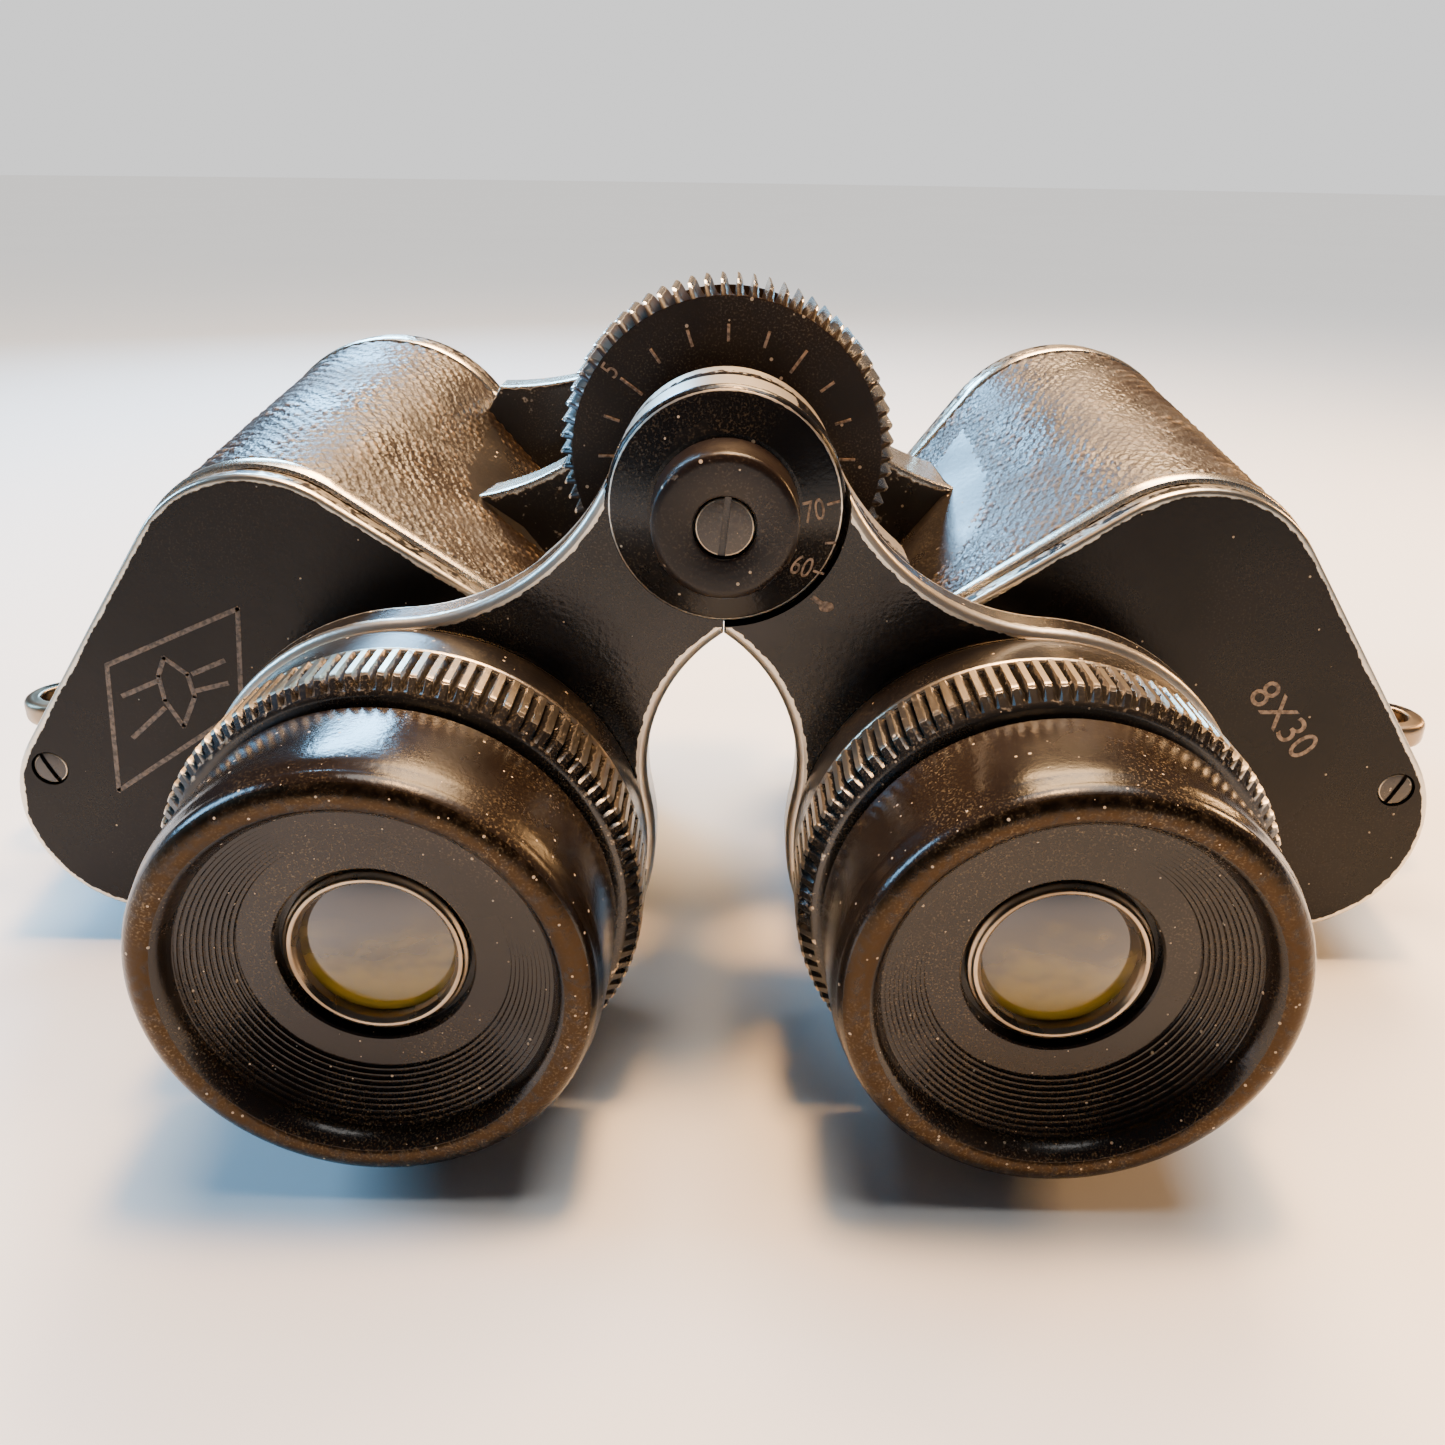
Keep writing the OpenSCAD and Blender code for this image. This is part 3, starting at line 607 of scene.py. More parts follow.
def cornerCircles(y):
    t = y / housing["length"]
    return [[a + b * t for a, b in zip(base, add)] for base, add in zip(housing["corners"], housing["swell"])]


def housingOutline(y, grow):
    # a band round the three corner circles, clockwise
    circles = cornerCircles(y)
    points = []
    for i, here in enumerate(circles):
        facing = []
        for start, end in ((circles[i - 1], here), (here, circles[(i + 1) % 3])):
            run = math.dist(start[:2], end[:2])
            facing.append(angleTo(start, end) + math.degrees(math.acos((start[2] - end[2]) / run)))
        sweep = facing[1] - facing[0]
        sweep -= 360 * math.ceil(sweep / 360)
        points += arcPoints(here[:2], here[2] + grow, facing[0], facing[0] + sweep, housing["cornerPoints"])
    return points


def housingLoops(rows):
    return [[(x, y, z) for x, z in housingOutline(y, grow)] for y, grow, _ in rows], [row[2] for row in rows]


def fillet(nearRadius, farRadius, radius, side):
    # centre of a fillet that touches a circle on the hinge axis and one on the eyepiece axis
    near, far, gap = nearRadius + radius, farRadius + radius, math.hypot(*eyeAxis)
    turn = math.atan2(eyeAxis[1],
                      eyeAxis[0]) + side * math.acos((near ** 2 + gap ** 2 - far ** 2) / (2 * near * gap))
    return (near * math.cos(turn), near * math.sin(turn))


def webOutline(low, grow):
    upper = (low[0] ** 2 + low[1] ** 2 - web["lugRadius"] ** 2) / (2 * (web["lugRadius"] - low[1]))
    top = (low[0], low[1] + upper)
    under = fillet(web["lugRadius"], housing["corners"][2][2] - housing["rimProud"], web["lowFillet"], -1)
    topTurn, underTurn = angleTo(hingeAxis, top), angleTo(hingeAxis, under)
    return (arcPoints(hingeAxis, web["lugRadius"] + grow, topTurn, underTurn + 360, 36)
            + arcPoints(under, web["lowFillet"] - grow, underTurn + 180, angleTo(eyeAxis, under) - 180, 12)
            + [eyeAxis, (36.0, -18.0)]
            + arcPoints(top, upper - grow, 270, topTurn + 180, 20))


def hingeWeb(name, back, front, low):
    rows = [(back, -0.9, 0), (back, -0.4, 0.8), (back + 0.12, -0.12, 1), (back + 0.4, 0, 1),
            (back + 0.9, 0, 0.1),
            (front - 0.9, 0, 0.1), (front - 0.4, 0, 1), (front - 0.12, -0.12, 1), (front, -0.4, 0.8),
            (front, -0.9, 0)]
    loops = [[(x, y, z) for x, z in webOutline(web[low], grow)] for y, grow, _ in rows]
    return wrappedPiece(name, loops, [row[2] for row in rows])


def makeHousings():
    rims, length = housing["rims"], housing["length"]
    rows = rims + [(length - y, grow, wear) for y, grow, wear in reversed(rims)]
    shell = wrappedPiece("Housing", *housingLoops(rows))
    inside = [(-1, -2.5, 0), (11, -2.5, 0), (25, -2.5, 0), (length + 1, -2.5, 0)]
    hollow = wrappedPiece("hollow", *housingLoops(inside))
    for side, sideName in sideNames:
        body = copied(shell, sideName + "Shell")
        for back, front, low in web["outer" if side < 0 else "inner"]:
            carve(body, [hingeWeb("web", back, front, low)], "UNION")
        carve(body, [copied(hollow, "hollowTool"), rodTool(hingeAxis, 10, 40, web["boreRadius"])])
        finishPiece(body, sideName + "Housing", sideName + "_half", castBody,
                    (sideName + "_housing",), side)
    for spare in (shell, hollow):
        bpy.data.objects.remove(spare)


leather = {"around": 560, "along": 118, "pebbleAround": 1.5, "pebbleAlong": 1.3, "depth": 0.3, "low": -0.28}


def pebbleHeight(along, y):
    # staggered rows of rounded pebbles, shifted and sized a little unevenly
    shift = noise.noise(Vector((along * 0.5, y * 0.5, 3.0))) * 0.3
    u = along / leather["pebbleAround"] + shift
    v = y / leather["pebbleAlong"] + noise.noise(Vector((along * 0.5, y * 0.5, 9.0))) * 0.3
    across, up = math.cos(math.pi * u) ** 2, math.cos(math.pi * v) ** 2
    bump = across * up + (1 - across) * (1 - up)
    return bump * (0.72 + 0.5 * noise.noise(Vector((along * 0.35, y * 0.35, 5.0))))


def makeLeathers():
    # one sheet wrapped round the housing between its rims, with its pebbles raised in the mesh
    start, end = 1.56, housing["length"] - 1.56
    rows = [(start, -1.0), (start, -0.35), (start + 0.08, -0.3)]
    for i in range(leather["along"] + 1):
        rows.append((start + 0.2 + (end - start - 0.4) * i / leather["along"], leather["low"]))
    rows += [(end - 0.08, -0.3), (end, -0.35), (end, -1.0)]
    loops, heights = [], []
    for y, grow in rows:
        ring = evenly(housingOutline(y, grow), leather["around"])
        around = sum(math.dist(a, b) for a, b in zip(ring, ring[1:] + ring[:1]))
        cells = round(around / leather["pebbleAround"])
        loop = []
        for k, (x, z) in enumerate(ring):
            height = 0.0
            if grow == leather["low"]:
                height = pebbleHeight(k / leather["around"] * cells * leather["pebbleAround"], y)
            before, after = ring[k - 1], ring[(k + 1) % len(ring)]
            run = math.dist(before, after)
            outX, outZ = (before[1] - after[1]) / run, (after[0] - before[0]) / run
            loop.append((x + outX * height * leather["depth"], y, z + outZ * height * leather["depth"]))
            heights.append(height)
        loops.append(loop)
    sheet = wrappedPiece("Leather", loops, [0.0] * len(rows), ring=True)
    # each pebble's height is kept on its points, for the painted highlight on the pebble tops
    tops = sheet.data.attributes.new("pebble", "FLOAT", "POINT")
    known = {tuple(round(c, 3) for c in point): height for point, height in
             zip([point for loop in loops for point in loop], heights)}
    for vertex, entry in zip(sheet.data.vertices, tops.data):
        entry.value = known.get(tuple(round(c, 3) for c in vertex.co), 0.0)
    finishPair(sheet, "Leather", "half", leatherette, "leather", smooth=80)


def coverRows(seat, face):
    # from the seat to the outer face, with a rounded, rubbed edge
    way = 1 if face > seat else -1
    thick = abs(face - seat)
    rows = [(0.02, -1.3, 0), (0.02, -0.5, 0.1), (0.12, -0.36, 0.4), (0.3, -0.3, 0.5),
            (thick - 0.62, -0.3, 0.35),
            (thick - 0.4, -0.31, 0.9), (thick - 0.18, -0.38, 1), (thick - 0.05, -0.53, 1),
            (thick, -0.78, 0.6),
            (thick, -1.15, 0.05), (thick, -2.2, 0)]
    return [(seat + way * y, grow, wear) for y, grow, wear in rows]


def coverPlate(name, seat, face):
    rows = coverRows(seat, face)
    middleY = (seat + face) / 2
    loops = [[(x, y, z) for x, z in housingOutline(middleY, grow)] for y, grow, _ in rows]
    return wrappedPiece(name, loops, [row[2] for row in rows])


def slottedScrew(name, radius, length, slot):
    # the head's face at Y 0, driven along +Y
    screw = turnedPiece(name, hingeAxis, [(0, -0.04), (radius * 0.6, -0.03), (radius, 0.1, 0.16),
                                          (radius, 0.8),
                                          (radius * 0.48, 0.9), (radius * 0.48, length), (0, length)], 40,
                                          ring=False)
    return carve(screw, [blockTool((-slot / 2, -1, -radius - 1), (slot / 2, 0.42, radius + 1))])


def makeCovers():
    rear = coverPlate("rearPlate", 0.0, -2.2)
    guide = turnedPiece("guide", eyeAxis, [(11.6, -15.5), (13.0, -15.5, 0.3), (13.0, -1.2), (11.6, -1.2)])
    carve(rear, [guide], "UNION")
    carve(rear, [rodTool(eyeAxis, -17, 1, 11.6)])
    carve(rear, [rodTool(p, -3, -1.3, 1.72, 40) for p in housing["rearScrews"]])
    finishPair(rear, "RearCover", "half", coverPaint, "rear_cover")
    front = coverPlate("frontPlate", housing["length"], housing["length"] + 2.2)
    nose = turnedPiece("nose", lensAxis, [(13.4, 37.6), (15.0, 37.6), (15.0, 43.6, 0.3), (13.4, 43.6)])
    carve(front, [nose], "UNION")
    carve(front, [rodTool(lensAxis, 36, 45, 13.4)])
    carve(front, [rodTool(p, 38.3, 41, 1.72, 40) for p in housing["frontScrews"]])
    finishPair(front, "FrontCover", "half", coverPaint, "front_cover")
    screw = slottedScrew("coverScrew", 1.6, 7.0, 0.45)
    screws = [copied(screw, "screw", (p[0], -2.1, p[1]), (0, math.radians(25 + 60 * i), 0))
              for i, p in enumerate(housing["rearScrews"])]
    screws += [copied(screw, "screw", (p[0], 39.1, p[1]), (0, math.radians(15 + 70 * i), math.radians(180)))
               for i, p in enumerate(housing["frontScrews"])]
    bpy.data.objects.remove(screw)
    finishPair(joined(screws, "screws"), "CoverScrews", "half", darkScrews, "cover_screws")


strap = {"holeX": 72.2, "y": 18.0, "z": -31.0, "bore": 2.2, "outside": 4.0, "thick": 2.6}


def makeStrapLugs():
    half = strap["thick"] / 2
    eye = turnedPiece("eye", hingeAxis, [(strap["bore"], -half, 0.35), (strap["outside"], -half, 0.75),
                                         (strap["outside"], half, 0.75), (strap["bore"], half, 0.35)], 64)
    stem = turnedPiece("stem", hingeAxis, [(0, 66.0), (1.45, 66.0), (1.45, 67.4), (3.0, 67.4, 0.25),
                                           (3.0, 68.5, 0.35),
                                           (1.8, 68.6, 0.3), (1.5, 69.6), (1.5, 70.0), (0, 70.0)], 48,
                                           ring=False)
    lug = copied(eye, "lug", (strap["holeX"], strap["y"], strap["z"]), (math.radians(90), 0, 0))
    stem = copied(stem, "lugStem", (0, strap["y"], strap["z"]), (0, 0, math.radians(-90)))
    carve(lug, [stem], "UNION")
    for spare in ("eye", "stem"):
        bpy.data.objects.remove(bpy.data.objects[spare])
    finishPair(lug, "StrapLug", "half", nickelTrim, "strap_lug")


makeHousings()
makeLeathers()
makeCovers()
makeStrapLugs()
print("housings, leather, covers and strap lugs made")

objective = {"front": 74.0, "back": 39.3, "threads": 8}


def grooves(radius, start, end, count, depth):
    # fine turned grooves along a bore or rod, from start to end
    step = (end - start) / count
    path = []
    for i in range(count):
        path += [(radius, start + step * i), (radius, start + step * (i + 0.35)),
                 (radius - depth, start + step * (i + 0.55)),
                 (radius - depth, start + step * (i + 0.8))]
    return path + [(radius, end)]


def domed(radius, vertex, rise, way, count=14):
    # profile of a spherical face from its vertex to its edge
    ball = (radius ** 2 + rise ** 2) / (2 * rise)
    reach = math.asin(radius / ball)
    return [(ball * math.sin(reach * i / count), vertex + way * ball * (1 - math.cos(reach * i / count)))
            for i in range(count + 1)]


def lensPiece(name, axis, radius, front, back, frontRise, backRise):
    return turnedPiece(name, axis, domed(radius, front, frontRise, 1) + domed(radius, back, backRise,
        -1)[::-1],
                       96, ring=False)


def makeObjectives():
    front, back = objective["front"], objective["back"]
    barrel = turnedPiece("barrel", lensAxis, [
        (15.1, back), (16.6, back, 0.3), (16.6, back + 1.1, 0.15), (16.35, back + 1.25), (16.35, back + 1.45),
        (16.6, back + 1.6, 0.15), (16.6, back + 2.5, 0.3), (15.9, back + 3.1, 0.3), (15.9, back + 5.0, 0.8),
        (17.6, front - 12.6, 0.8), (17.6, front - 11.0, 0.3), (19.0, front - 10.0, 0.4),
        (19.0, front - 7.1), (18.86, front - 6.95), (18.86, front - 6.75), (19.0, front - 6.6),
        (19.0, front - 0.4, 0.35), (18.4, front, 0.25), (17.3, front, 0.25)]
        + grooves(17.05, front - 0.6, 67.4, objective["threads"], -0.12)
        + [(17.05, 57.0), (14.2, 57.0), (14.2, 44.0), (15.1, 43.8)], 128)
    finishPair(barrel, "ObjectiveBarrel", "half", barrelPaint, "objective_barrel")
    ring = turnedPiece("ring", lensAxis, [(14.8, 66.05), (17.0, 66.05), (17.0, 67.2, 0.2),
                                          (15.9, 67.3, 0.15), (14.9, 66.6, 0.1)], 128)
    slots = [blockTool((lensAxis[0] + way * 15.9 - 0.9, 66.7, lensAxis[1] - 0.6),
                       (lensAxis[0] + way * 15.9 + 1.5, 68, lensAxis[1] + 0.6))
             for way in (-1, 1)]
    carve(ring, slots)
    finishPair(ring, "ObjectiveRing", "half", blackAnodised, "objective_ring")
    glass = lensPiece("glass", lensAxis, 15.5, 58.7, 65.6, 0.9, 1.8)
    finishPair(glass, "ObjectiveLens", "half", coatedGlass, "objective_lens", smooth=60)


makeObjectives()
print("objectives made")

arm = {"front": -13.4, "back": -9.4, "split": -8.15, "bossBack": -2.9, "bossRadius": 9.25, "eyeRadius": 19.4,
       "topFillet": 20.0, "lowFillet": 14.5, "neck": 16.0, "scaleTop": -14.5}


def armOutline(grow):
    boss, end = arm["bossRadius"] - 0.1, arm["eyeRadius"]
    top, low = fillet(boss, end, arm["topFillet"], 1), fillet(boss, end, arm["lowFillet"], -1)
    return (arcPoints(hingeAxis, boss + grow, angleTo(hingeAxis, top), angleTo(hingeAxis, low) + 360, 48)[:-1]
            + arcPoints(low, arm["lowFillet"] - grow, angleTo(hingeAxis, low) + 180,
                        angleTo(eyeAxis, low) - 180, 22)[:-1]
            + arcPoints(eyeAxis, end + grow, angleTo(eyeAxis, low), angleTo(eyeAxis, top) + 360, 80)[:-1]
            + arcPoints(top, arm["topFillet"] - grow, angleTo(eyeAxis, top) + 180,
                        angleTo(hingeAxis, top) + 180, 28)[:-1])


def armSlab(name, front, back, inward):
    rows = [(front, -1.7, 0), (front, -1.0, 0.12), (front, -0.62, 1), (front + 0.1, -0.3, 1),
            (front + 0.32, -0.08, 1),
            (front + 0.62, 0, 0.75), (front + 1.1, 0, 0.1), (back - 0.9, 0, 0.1), (back - 0.5, 0, 0.9),
            (back - 0.2, -0.1, 1),
            (back, -0.4, 0.8), (back, -0.9, 0)]
    loops = [[(x, y, z) for x, z in armOutline(grow - inward)] for y, grow, _ in rows]
    return wrappedPiece(name, loops, [row[2] for row in rows])


def armPlate(name, deep, innerDisc):
    plate = armSlab(name, arm["front"], arm["back"], 0)
    neck = armSlab("neck", arm["front"] + 1.5, deep, 0.05)
    reach = arm["neck"]
    carve(neck, [turnedPiece("reach", hingeAxis, [(0, -20), (reach, -20), (reach, deep - 1.2, 0.5),
        (reach - 1.2, deep + 0.05), (0, deep + 0.05)],
                             96, ring=False)], "INTERSECT")
    carve(plate, [neck], "UNION")
    cuts = [blockTool((-20, -16, -20), (0.03, 0, -0.001)), rodTool(eyeAxis, -16, 0, 15.02)]
    if innerDisc:
        cuts.append(rodTool(hingeAxis, -16, arm["split"] + 0.1, arm["bossRadius"] + 0.3))
    return carve(plate, cuts)


def crispFlats(piece):
    # a hard line round the flat faces, so that their shading stays flat
    flats = {}
    for face in piece.data.polygons:
        flat = abs(face.normal.y) > 0.9995
        for key in face.edge_keys:
            flats.setdefault(key, set()).add(flat)
    for edge in piece.data.edges:
        if len(flats.get(edge.key, ())) == 2:
            edge.use_edge_sharp = True


def makeArms():
    radius, split = arm["bossRadius"], arm["split"]
    left = armPlate("leftPlate", split, False)
    # the front disc carries the eye-spacing scale on a shallow cone round the cap
    frontDisc = turnedPiece("frontDisc", hingeAxis, [
        (0, arm["scaleTop"]), (5.9, arm["scaleTop"]), (radius - 0.35, arm["front"] - 0.12, 0.3),
        (radius, arm["front"] + 0.35, 0.35),
        (radius, split - 0.3, 0.3), (radius - 0.35, split, 0.2), (0, split)], 128, ring=False)
    carve(left, [frontDisc], "UNION")
    carve(left, [rodTool(hingeAxis, -16, 0, 4.02)])
    # only the rim of the disc is rubbed; its cone and its sides keep their paint
    for vertex, entry in zip(left.data.vertices, left.data.attributes["worn"].data):
        out = math.hypot(vertex.co.x, vertex.co.z)
        if out < radius + 0.05 and vertex.co.y < arm["front"] + 0.6:
            entry.value = 0.9 if out > radius - 0.45 and vertex.co.y < arm["front"] - 0.02 else 0.0
    finishPiece(left, "leftArm", "left_bridge", bridgeEnamel, ("left_arm",), -1, 34, True)
    right = armPlate("rightArm", arm["bossBack"], True)
    backDisc = turnedPiece("backDisc", hingeAxis, [
        (0, split + 0.1), (radius - 0.3, split + 0.1, 0.2), (radius, split + 0.45, 0.35),
        (radius, arm["bossBack"] - 0.3, 0.3),
        (radius - 0.35, arm["bossBack"], 0.2), (0, arm["bossBack"])], 128, ring=False)
    carve(right, [backDisc], "UNION")
    carve(right, [rodTool(hingeAxis, -16, 0, 4.05)])
    finishPiece(right, "rightArm", "right_bridge", bridgeEnamel, ("right_arm",), 1, 34, True)


makeArms()
print("bridge arms made")

ringShape = {"front": -24.15, "back": -18.1, "radius": 19.0, "flutes": 100, "columns": 5, "depth": 0.42}
cup = {"back": -24.9, "radius": 17.1, "steps": 11, "stepTop": 13.5, "stepBottom": 9.7,
       "floor": -31.3,
       "hole": 7.3}


def notchRound(piece, axis, columns, depths, yLow, yHigh, least):
    # every column of points at these turns is pressed towards the axis
    radius = max(fromAxis(v.co, axis) for v in piece.data.vertices)
    for slot, depth in enumerate(depths):
        if not depth:
            continue
        pick(piece)
        for vertex in piece.data.vertices:
            x, z = vertex.co.x - axis[0], vertex.co.z - axis[1]
            column = round((math.atan2(z, x) % math.tau) / math.tau * columns) % len(depths)
            vertex.select = column == slot and yLow < vertex.co.y < yHigh and math.hypot(x, z) > least
        bpy.ops.object.mode_set(mode="EDIT")
        bpy.ops.mesh.select_mode(type="VERT")
        shrink = (radius - depth) / radius
        bpy.ops.transform.resize(value=(shrink, 1, shrink), center_override=(axis[0], 0, axis[1]))
        bpy.ops.object.mode_set(mode="OBJECT")


def deselectPoints(piece):
    for part in (piece.data.vertices, piece.data.edges, piece.data.polygons):
        part.foreach_set("select", [False] * len(part))


def makeKnurledRings():
    front, back, radius = ringShape["front"], ringShape["back"], ringShape["radius"]
    ring = turnedPiece("ring", eyeAxis, [
        (15.1, back), (18.3, back), (18.75, back - 0.08, 0.1), (radius, back - 0.4), (radius, front + 1.4),
        (radius - 0.08, front + 1.1),
        (radius - 0.4, front + 0.8), (17.75, front + 0.1, 0.15), (17.4, front), (13.1, front),
        (13.1, front + 0.6), (15.1, front + 0.6)],
        ringShape["flutes"] * ringShape["columns"])
    deselectPoints(ring)
    depth = ringShape["depth"]
    notchRound(ring, eyeAxis, ringShape["flutes"] * ringShape["columns"], (0, 0, 0, depth, depth),
               front + 0.7, back + 1, 18.4)

    def wornAt(place):
        out = fromAxis(place, eyeAxis)
        if out > radius - 0.12:
            return 0.62 if place.y > front + 1.5 else 0.95
        return 0.35 if 17.6 < out < 18.5 and place.y < front + 0.7 else 0.0

    setWorn(ring, wornAt)
    left = copied(ring, "leftRing")
    finishPiece(ring, "rightDiopterRing", "diopter_ring", ringEnamel,
                ("right_diopter_ring",), 1, 25)
    finishPiece(left, "leftKnurledRing", "left_bridge", ringEnamel, ("left_knurled_ring",),
                -1, 25)


def makeSleeves():
    sleeve = turnedPiece("sleeve", eyeAxis, [
        (13.05, -23.6), (15.0, -23.6), (15.0, -18.0), (18.2, -18.0, 0.2), (18.75, -17.8, 0.25),
        (18.75, -13.5, 0.2), (17.9, -13.38),
        (15.0, -13.38), (15.0, -7.5, 0.3), (14.6, -7.2), (13.05, -7.2)], 128)
    finishPair(sleeve, "OcularSleeve", "bridge", ringEnamel, "ocular_sleeve")


def makeEyecups():
    lip = [(15.15 + 1.5 * math.cos(a), -34.22 - 1.53 * math.sin(a)) for a in
           [math.radians(-6 + i * 12.6) for i in range(13)]]
    corners = [(7.3, cup["back"] - 1), (11.5, cup["back"] - 1), (11.5, cup["back"]),
               (cup["radius"] - 0.3, cup["back"]),
               (cup["radius"], cup["back"] - 0.35), (cup["radius"], -29.9), (17.06, -31.6), (16.98, -32.9),
               (16.85, -33.5)] + lip
    corners += [(13.72, -34.7), (13.55, -34.35), (cup["stepTop"], -34.1)]
    inward = (cup["stepTop"] - cup["stepBottom"]) / cup["steps"]
    deeper = (cup["floor"] + 34.1) / cup["steps"]
    for i in range(cup["steps"]):
        radius, y = cup["stepTop"] - inward * i, -34.1 + deeper * i
        corners += [(radius - 0.02, y + deeper * 0.72), (radius - 0.09, y + deeper),
                    (radius - inward, y + deeper)]
    corners += [(cup["hole"] + 0.15, cup["floor"]), (cup["hole"], cup["floor"] + 0.15)]
    piece = turnedPiece("cup", eyeAxis, corners, 144)
    setWorn(piece, lambda place: float(place.y < -34.4 and 14.2 < fromAxis(place, eyeAxis) < 16.4))
    finishPair(piece, "Eyecup", "ocular", eyecupBakelite, "eyecup", 28)


def makeEyeLenses():
    retainer = turnedPiece("retainer", eyeAxis, [
        (5.8, -29.9), (6.85, -29.9), (6.85, -30.75, 0.15), (6.5, -30.95, 0.1), (6.4, -31.15, 0.1),
        (6.12, -31.15, 0.1), (5.8, -30.75, 0.1)], 96)
    glass = lensPiece("glass", eyeAxis, 6.1, -30.72, -26.9, 0.85, 0.5)
    finishPair(retainer, "LensRetainer", "ocular", nickelTrim, "lens_retainer")
    finishPair(glass, "EyeLens", "ocular", eyeGlass, "eye_lens", 60)


makeKnurledRings()
makeSleeves()
makeEyecups()
makeEyeLenses()
print("eyepieces made")

wheel = {"front": 4.5, "back": 14.0, "radius": 15.1, "scallops": 66, "columns": 8, "depth": 0.75,
         "faceRadius": 13.7}


def makeWheel():
    front, back, radius = wheel["front"], wheel["back"], wheel["radius"]
    columns = wheel["scallops"] * wheel["columns"]
    piece = turnedPiece("wheel", hingeAxis, [
        (6.05, front + 0.5), (6.3, front + 0.1), (7.6, front + 0.1), (7.75, front),
        (wheel["faceRadius"], front),
        (wheel["faceRadius"] + 0.12, front + 0.05), (radius - 0.55, front + 0.95),
        (radius - 0.12, front + 1.25), (radius, front + 1.6),
        (radius, back - 1.0), (radius - 0.15, back - 0.6), (radius - 0.6, back - 0.2), (radius - 1.2, back),
        (7.0, back), (6.05, back - 0.3)],
        columns)
    deselectPoints(piece)
    half = wheel["columns"] // 2
    depths = [wheel["depth"] * (min(k, wheel["columns"] - k) / half) ** 2 for k in range(wheel["columns"])]
    notchRound(piece, hingeAxis, columns, depths, front + 0.5, back - 0.1, radius - 0.9)
    setWorn(piece, lambda place: min(max((math.hypot(place.x, place.z) - radius + 0.5) / 0.35, 0), 1) * 0.95)
    finishPiece(piece, "focusWheel", "focus_wheel", wheelEnamel, ("focus_wheel",), 1, 42)


def makeHingeParts():
    lock = turnedPiece("lock", hingeAxis, [(6.02, 3.0), (7.4, 3.0, 0.2), (7.4, 4.4, 0.2), (6.02, 4.4)])
    finishPiece(lock, "wheelLockRing", "left_half", nickelTrim, ("wheel_lock_ring",))
    front = housing["length"] + 0.05
    cap = turnedPiece("cap", hingeAxis, [(0, front), (8.6, front), (8.6, front + 1.2, 0.3),
                                         (7.7, front + 2.1, 0.4), (5.2, front + 2.1, 0.15),
                                         (5.0, front + 1.9, 0.1), (1.0, front + 1.9, 0.3),
                                         (0, front + 1.5)], 96, ring=False)
    finishPiece(cap, "hingeFrontCap", "left_half", barrelPaint, ("hinge_front_cap",))
    spindle = turnedPiece("spindle", hingeAxis, [(0, -14.9), (4.0, -14.9), (4.0, -2.85), (6.0, -2.85, 0.2),
                                                 (6.0, -2.0, 0.2), (4.0, -2.0)]
                          + grooves(4.0, -1.6, 2.8, 6, 0.3) + [(4.0, 30.0), (0, 30.0)], 64, ring=False)
    finishPiece(spindle, "focusSpindle", "left_bridge", steelShaft, ("focus_spindle",))
    # the cap sits round the screw, with a thin bright line where it is rubbed
    bridgeCap = turnedPiece("bridgeCap", hingeAxis, [
        (1.3, -17.9), (2.32, -17.9), (2.32, -19.1, 0.1), (2.55, -19.2), (4.9, -19.2, 0.2),
        (5.42, -18.95, 0.25), (5.5, -18.2),
        (5.62, -14.6, 0.1), (5.3, -14.52), (4.02, -14.52), (4.02, -15.0), (1.3, -15.0)], 128)
    setWorn(bridgeCap, lambda place: 0.55 if math.hypot(place.x, place.z) > 4.95 and place.y < -18.8 else 0.0)
    finishPiece(bridgeCap, "bridgeCap", "left_bridge", capEnamel, ("bridge_cap",))
    screw = slottedScrew("capScrew", 2.2, 11.0, 0.5)
    screw = copied(screw, "capScrewTurned", (0, -18.98, 0), (0, math.radians(6), 0))
    bpy.data.objects.remove(bpy.data.objects["capScrew"])
    finishPiece(screw, "capScrew", "left_bridge", darkScrews, ("cap_screw",))


makeWheel()
makeHingeParts()
print("focus wheel, spindle and cap made")

marks = {"lift": 0.03, "deep": 0.02, "sizeToHeight": 1.38}


def stroke(name, start, end, width, y):
    # a flat bar between two points of the X-Z plane, rounded at its ends
    length = math.dist(start, end)
    clearSelection()
    bpy.ops.mesh.primitive_cube_add(size=1)
    bar = bpy.context.object
    bar.name = name
    bar.scale = (length + width * 0.6, marks["deep"] + marks["lift"], width)
    bar.location = ((start[0] + end[0]) / 2, y, (start[1] + end[1]) / 2)
    bar.rotation_euler = (0, -math.radians(angleTo(start, end)), 0)
    bpy.ops.object.transform_apply(location=True, rotation=True, scale=True)
    bpy.ops.object.modifier_add(type="BEVEL")
    bevel = bar.modifiers[-1]
    bevel.width, bevel.segments, bevel.limit_method = width * 0.25, 2, "NONE"
    bpy.ops.object.modifier_apply(modifier=bevel.name)
    return bar


def numeral(text, centre, height, turn, y, widen=1.0):
    # figures that face the eyepieces, their middle at the centre
    clearSelection()
    bpy.ops.object.text_add()
    figure = bpy.context.object
    figure.data.body = text
    figure.data.align_x, figure.data.align_y = "CENTER", "CENTER"
    figure.data.size, figure.data.extrude = height * marks["sizeToHeight"], marks["lift"]
    figure.data.resolution_u = 6
    bpy.ops.object.convert(target="MESH")
    figure = bpy.context.object
    figure.scale = (widen, 1, 1)
    bpy.ops.object.transform_apply(scale=True)
    figure.rotation_euler = Euler((math.radians(90), 0, 0))
    bpy.ops.object.transform_apply(rotation=True)
    figure.rotation_euler = (0, -math.radians(turn), 0)
    figure.location = (centre[0], y, centre[1])
    bpy.ops.object.transform_apply(location=True, rotation=True)
    figure.name = "figure"
    tidyMesh(figure)
    return figure


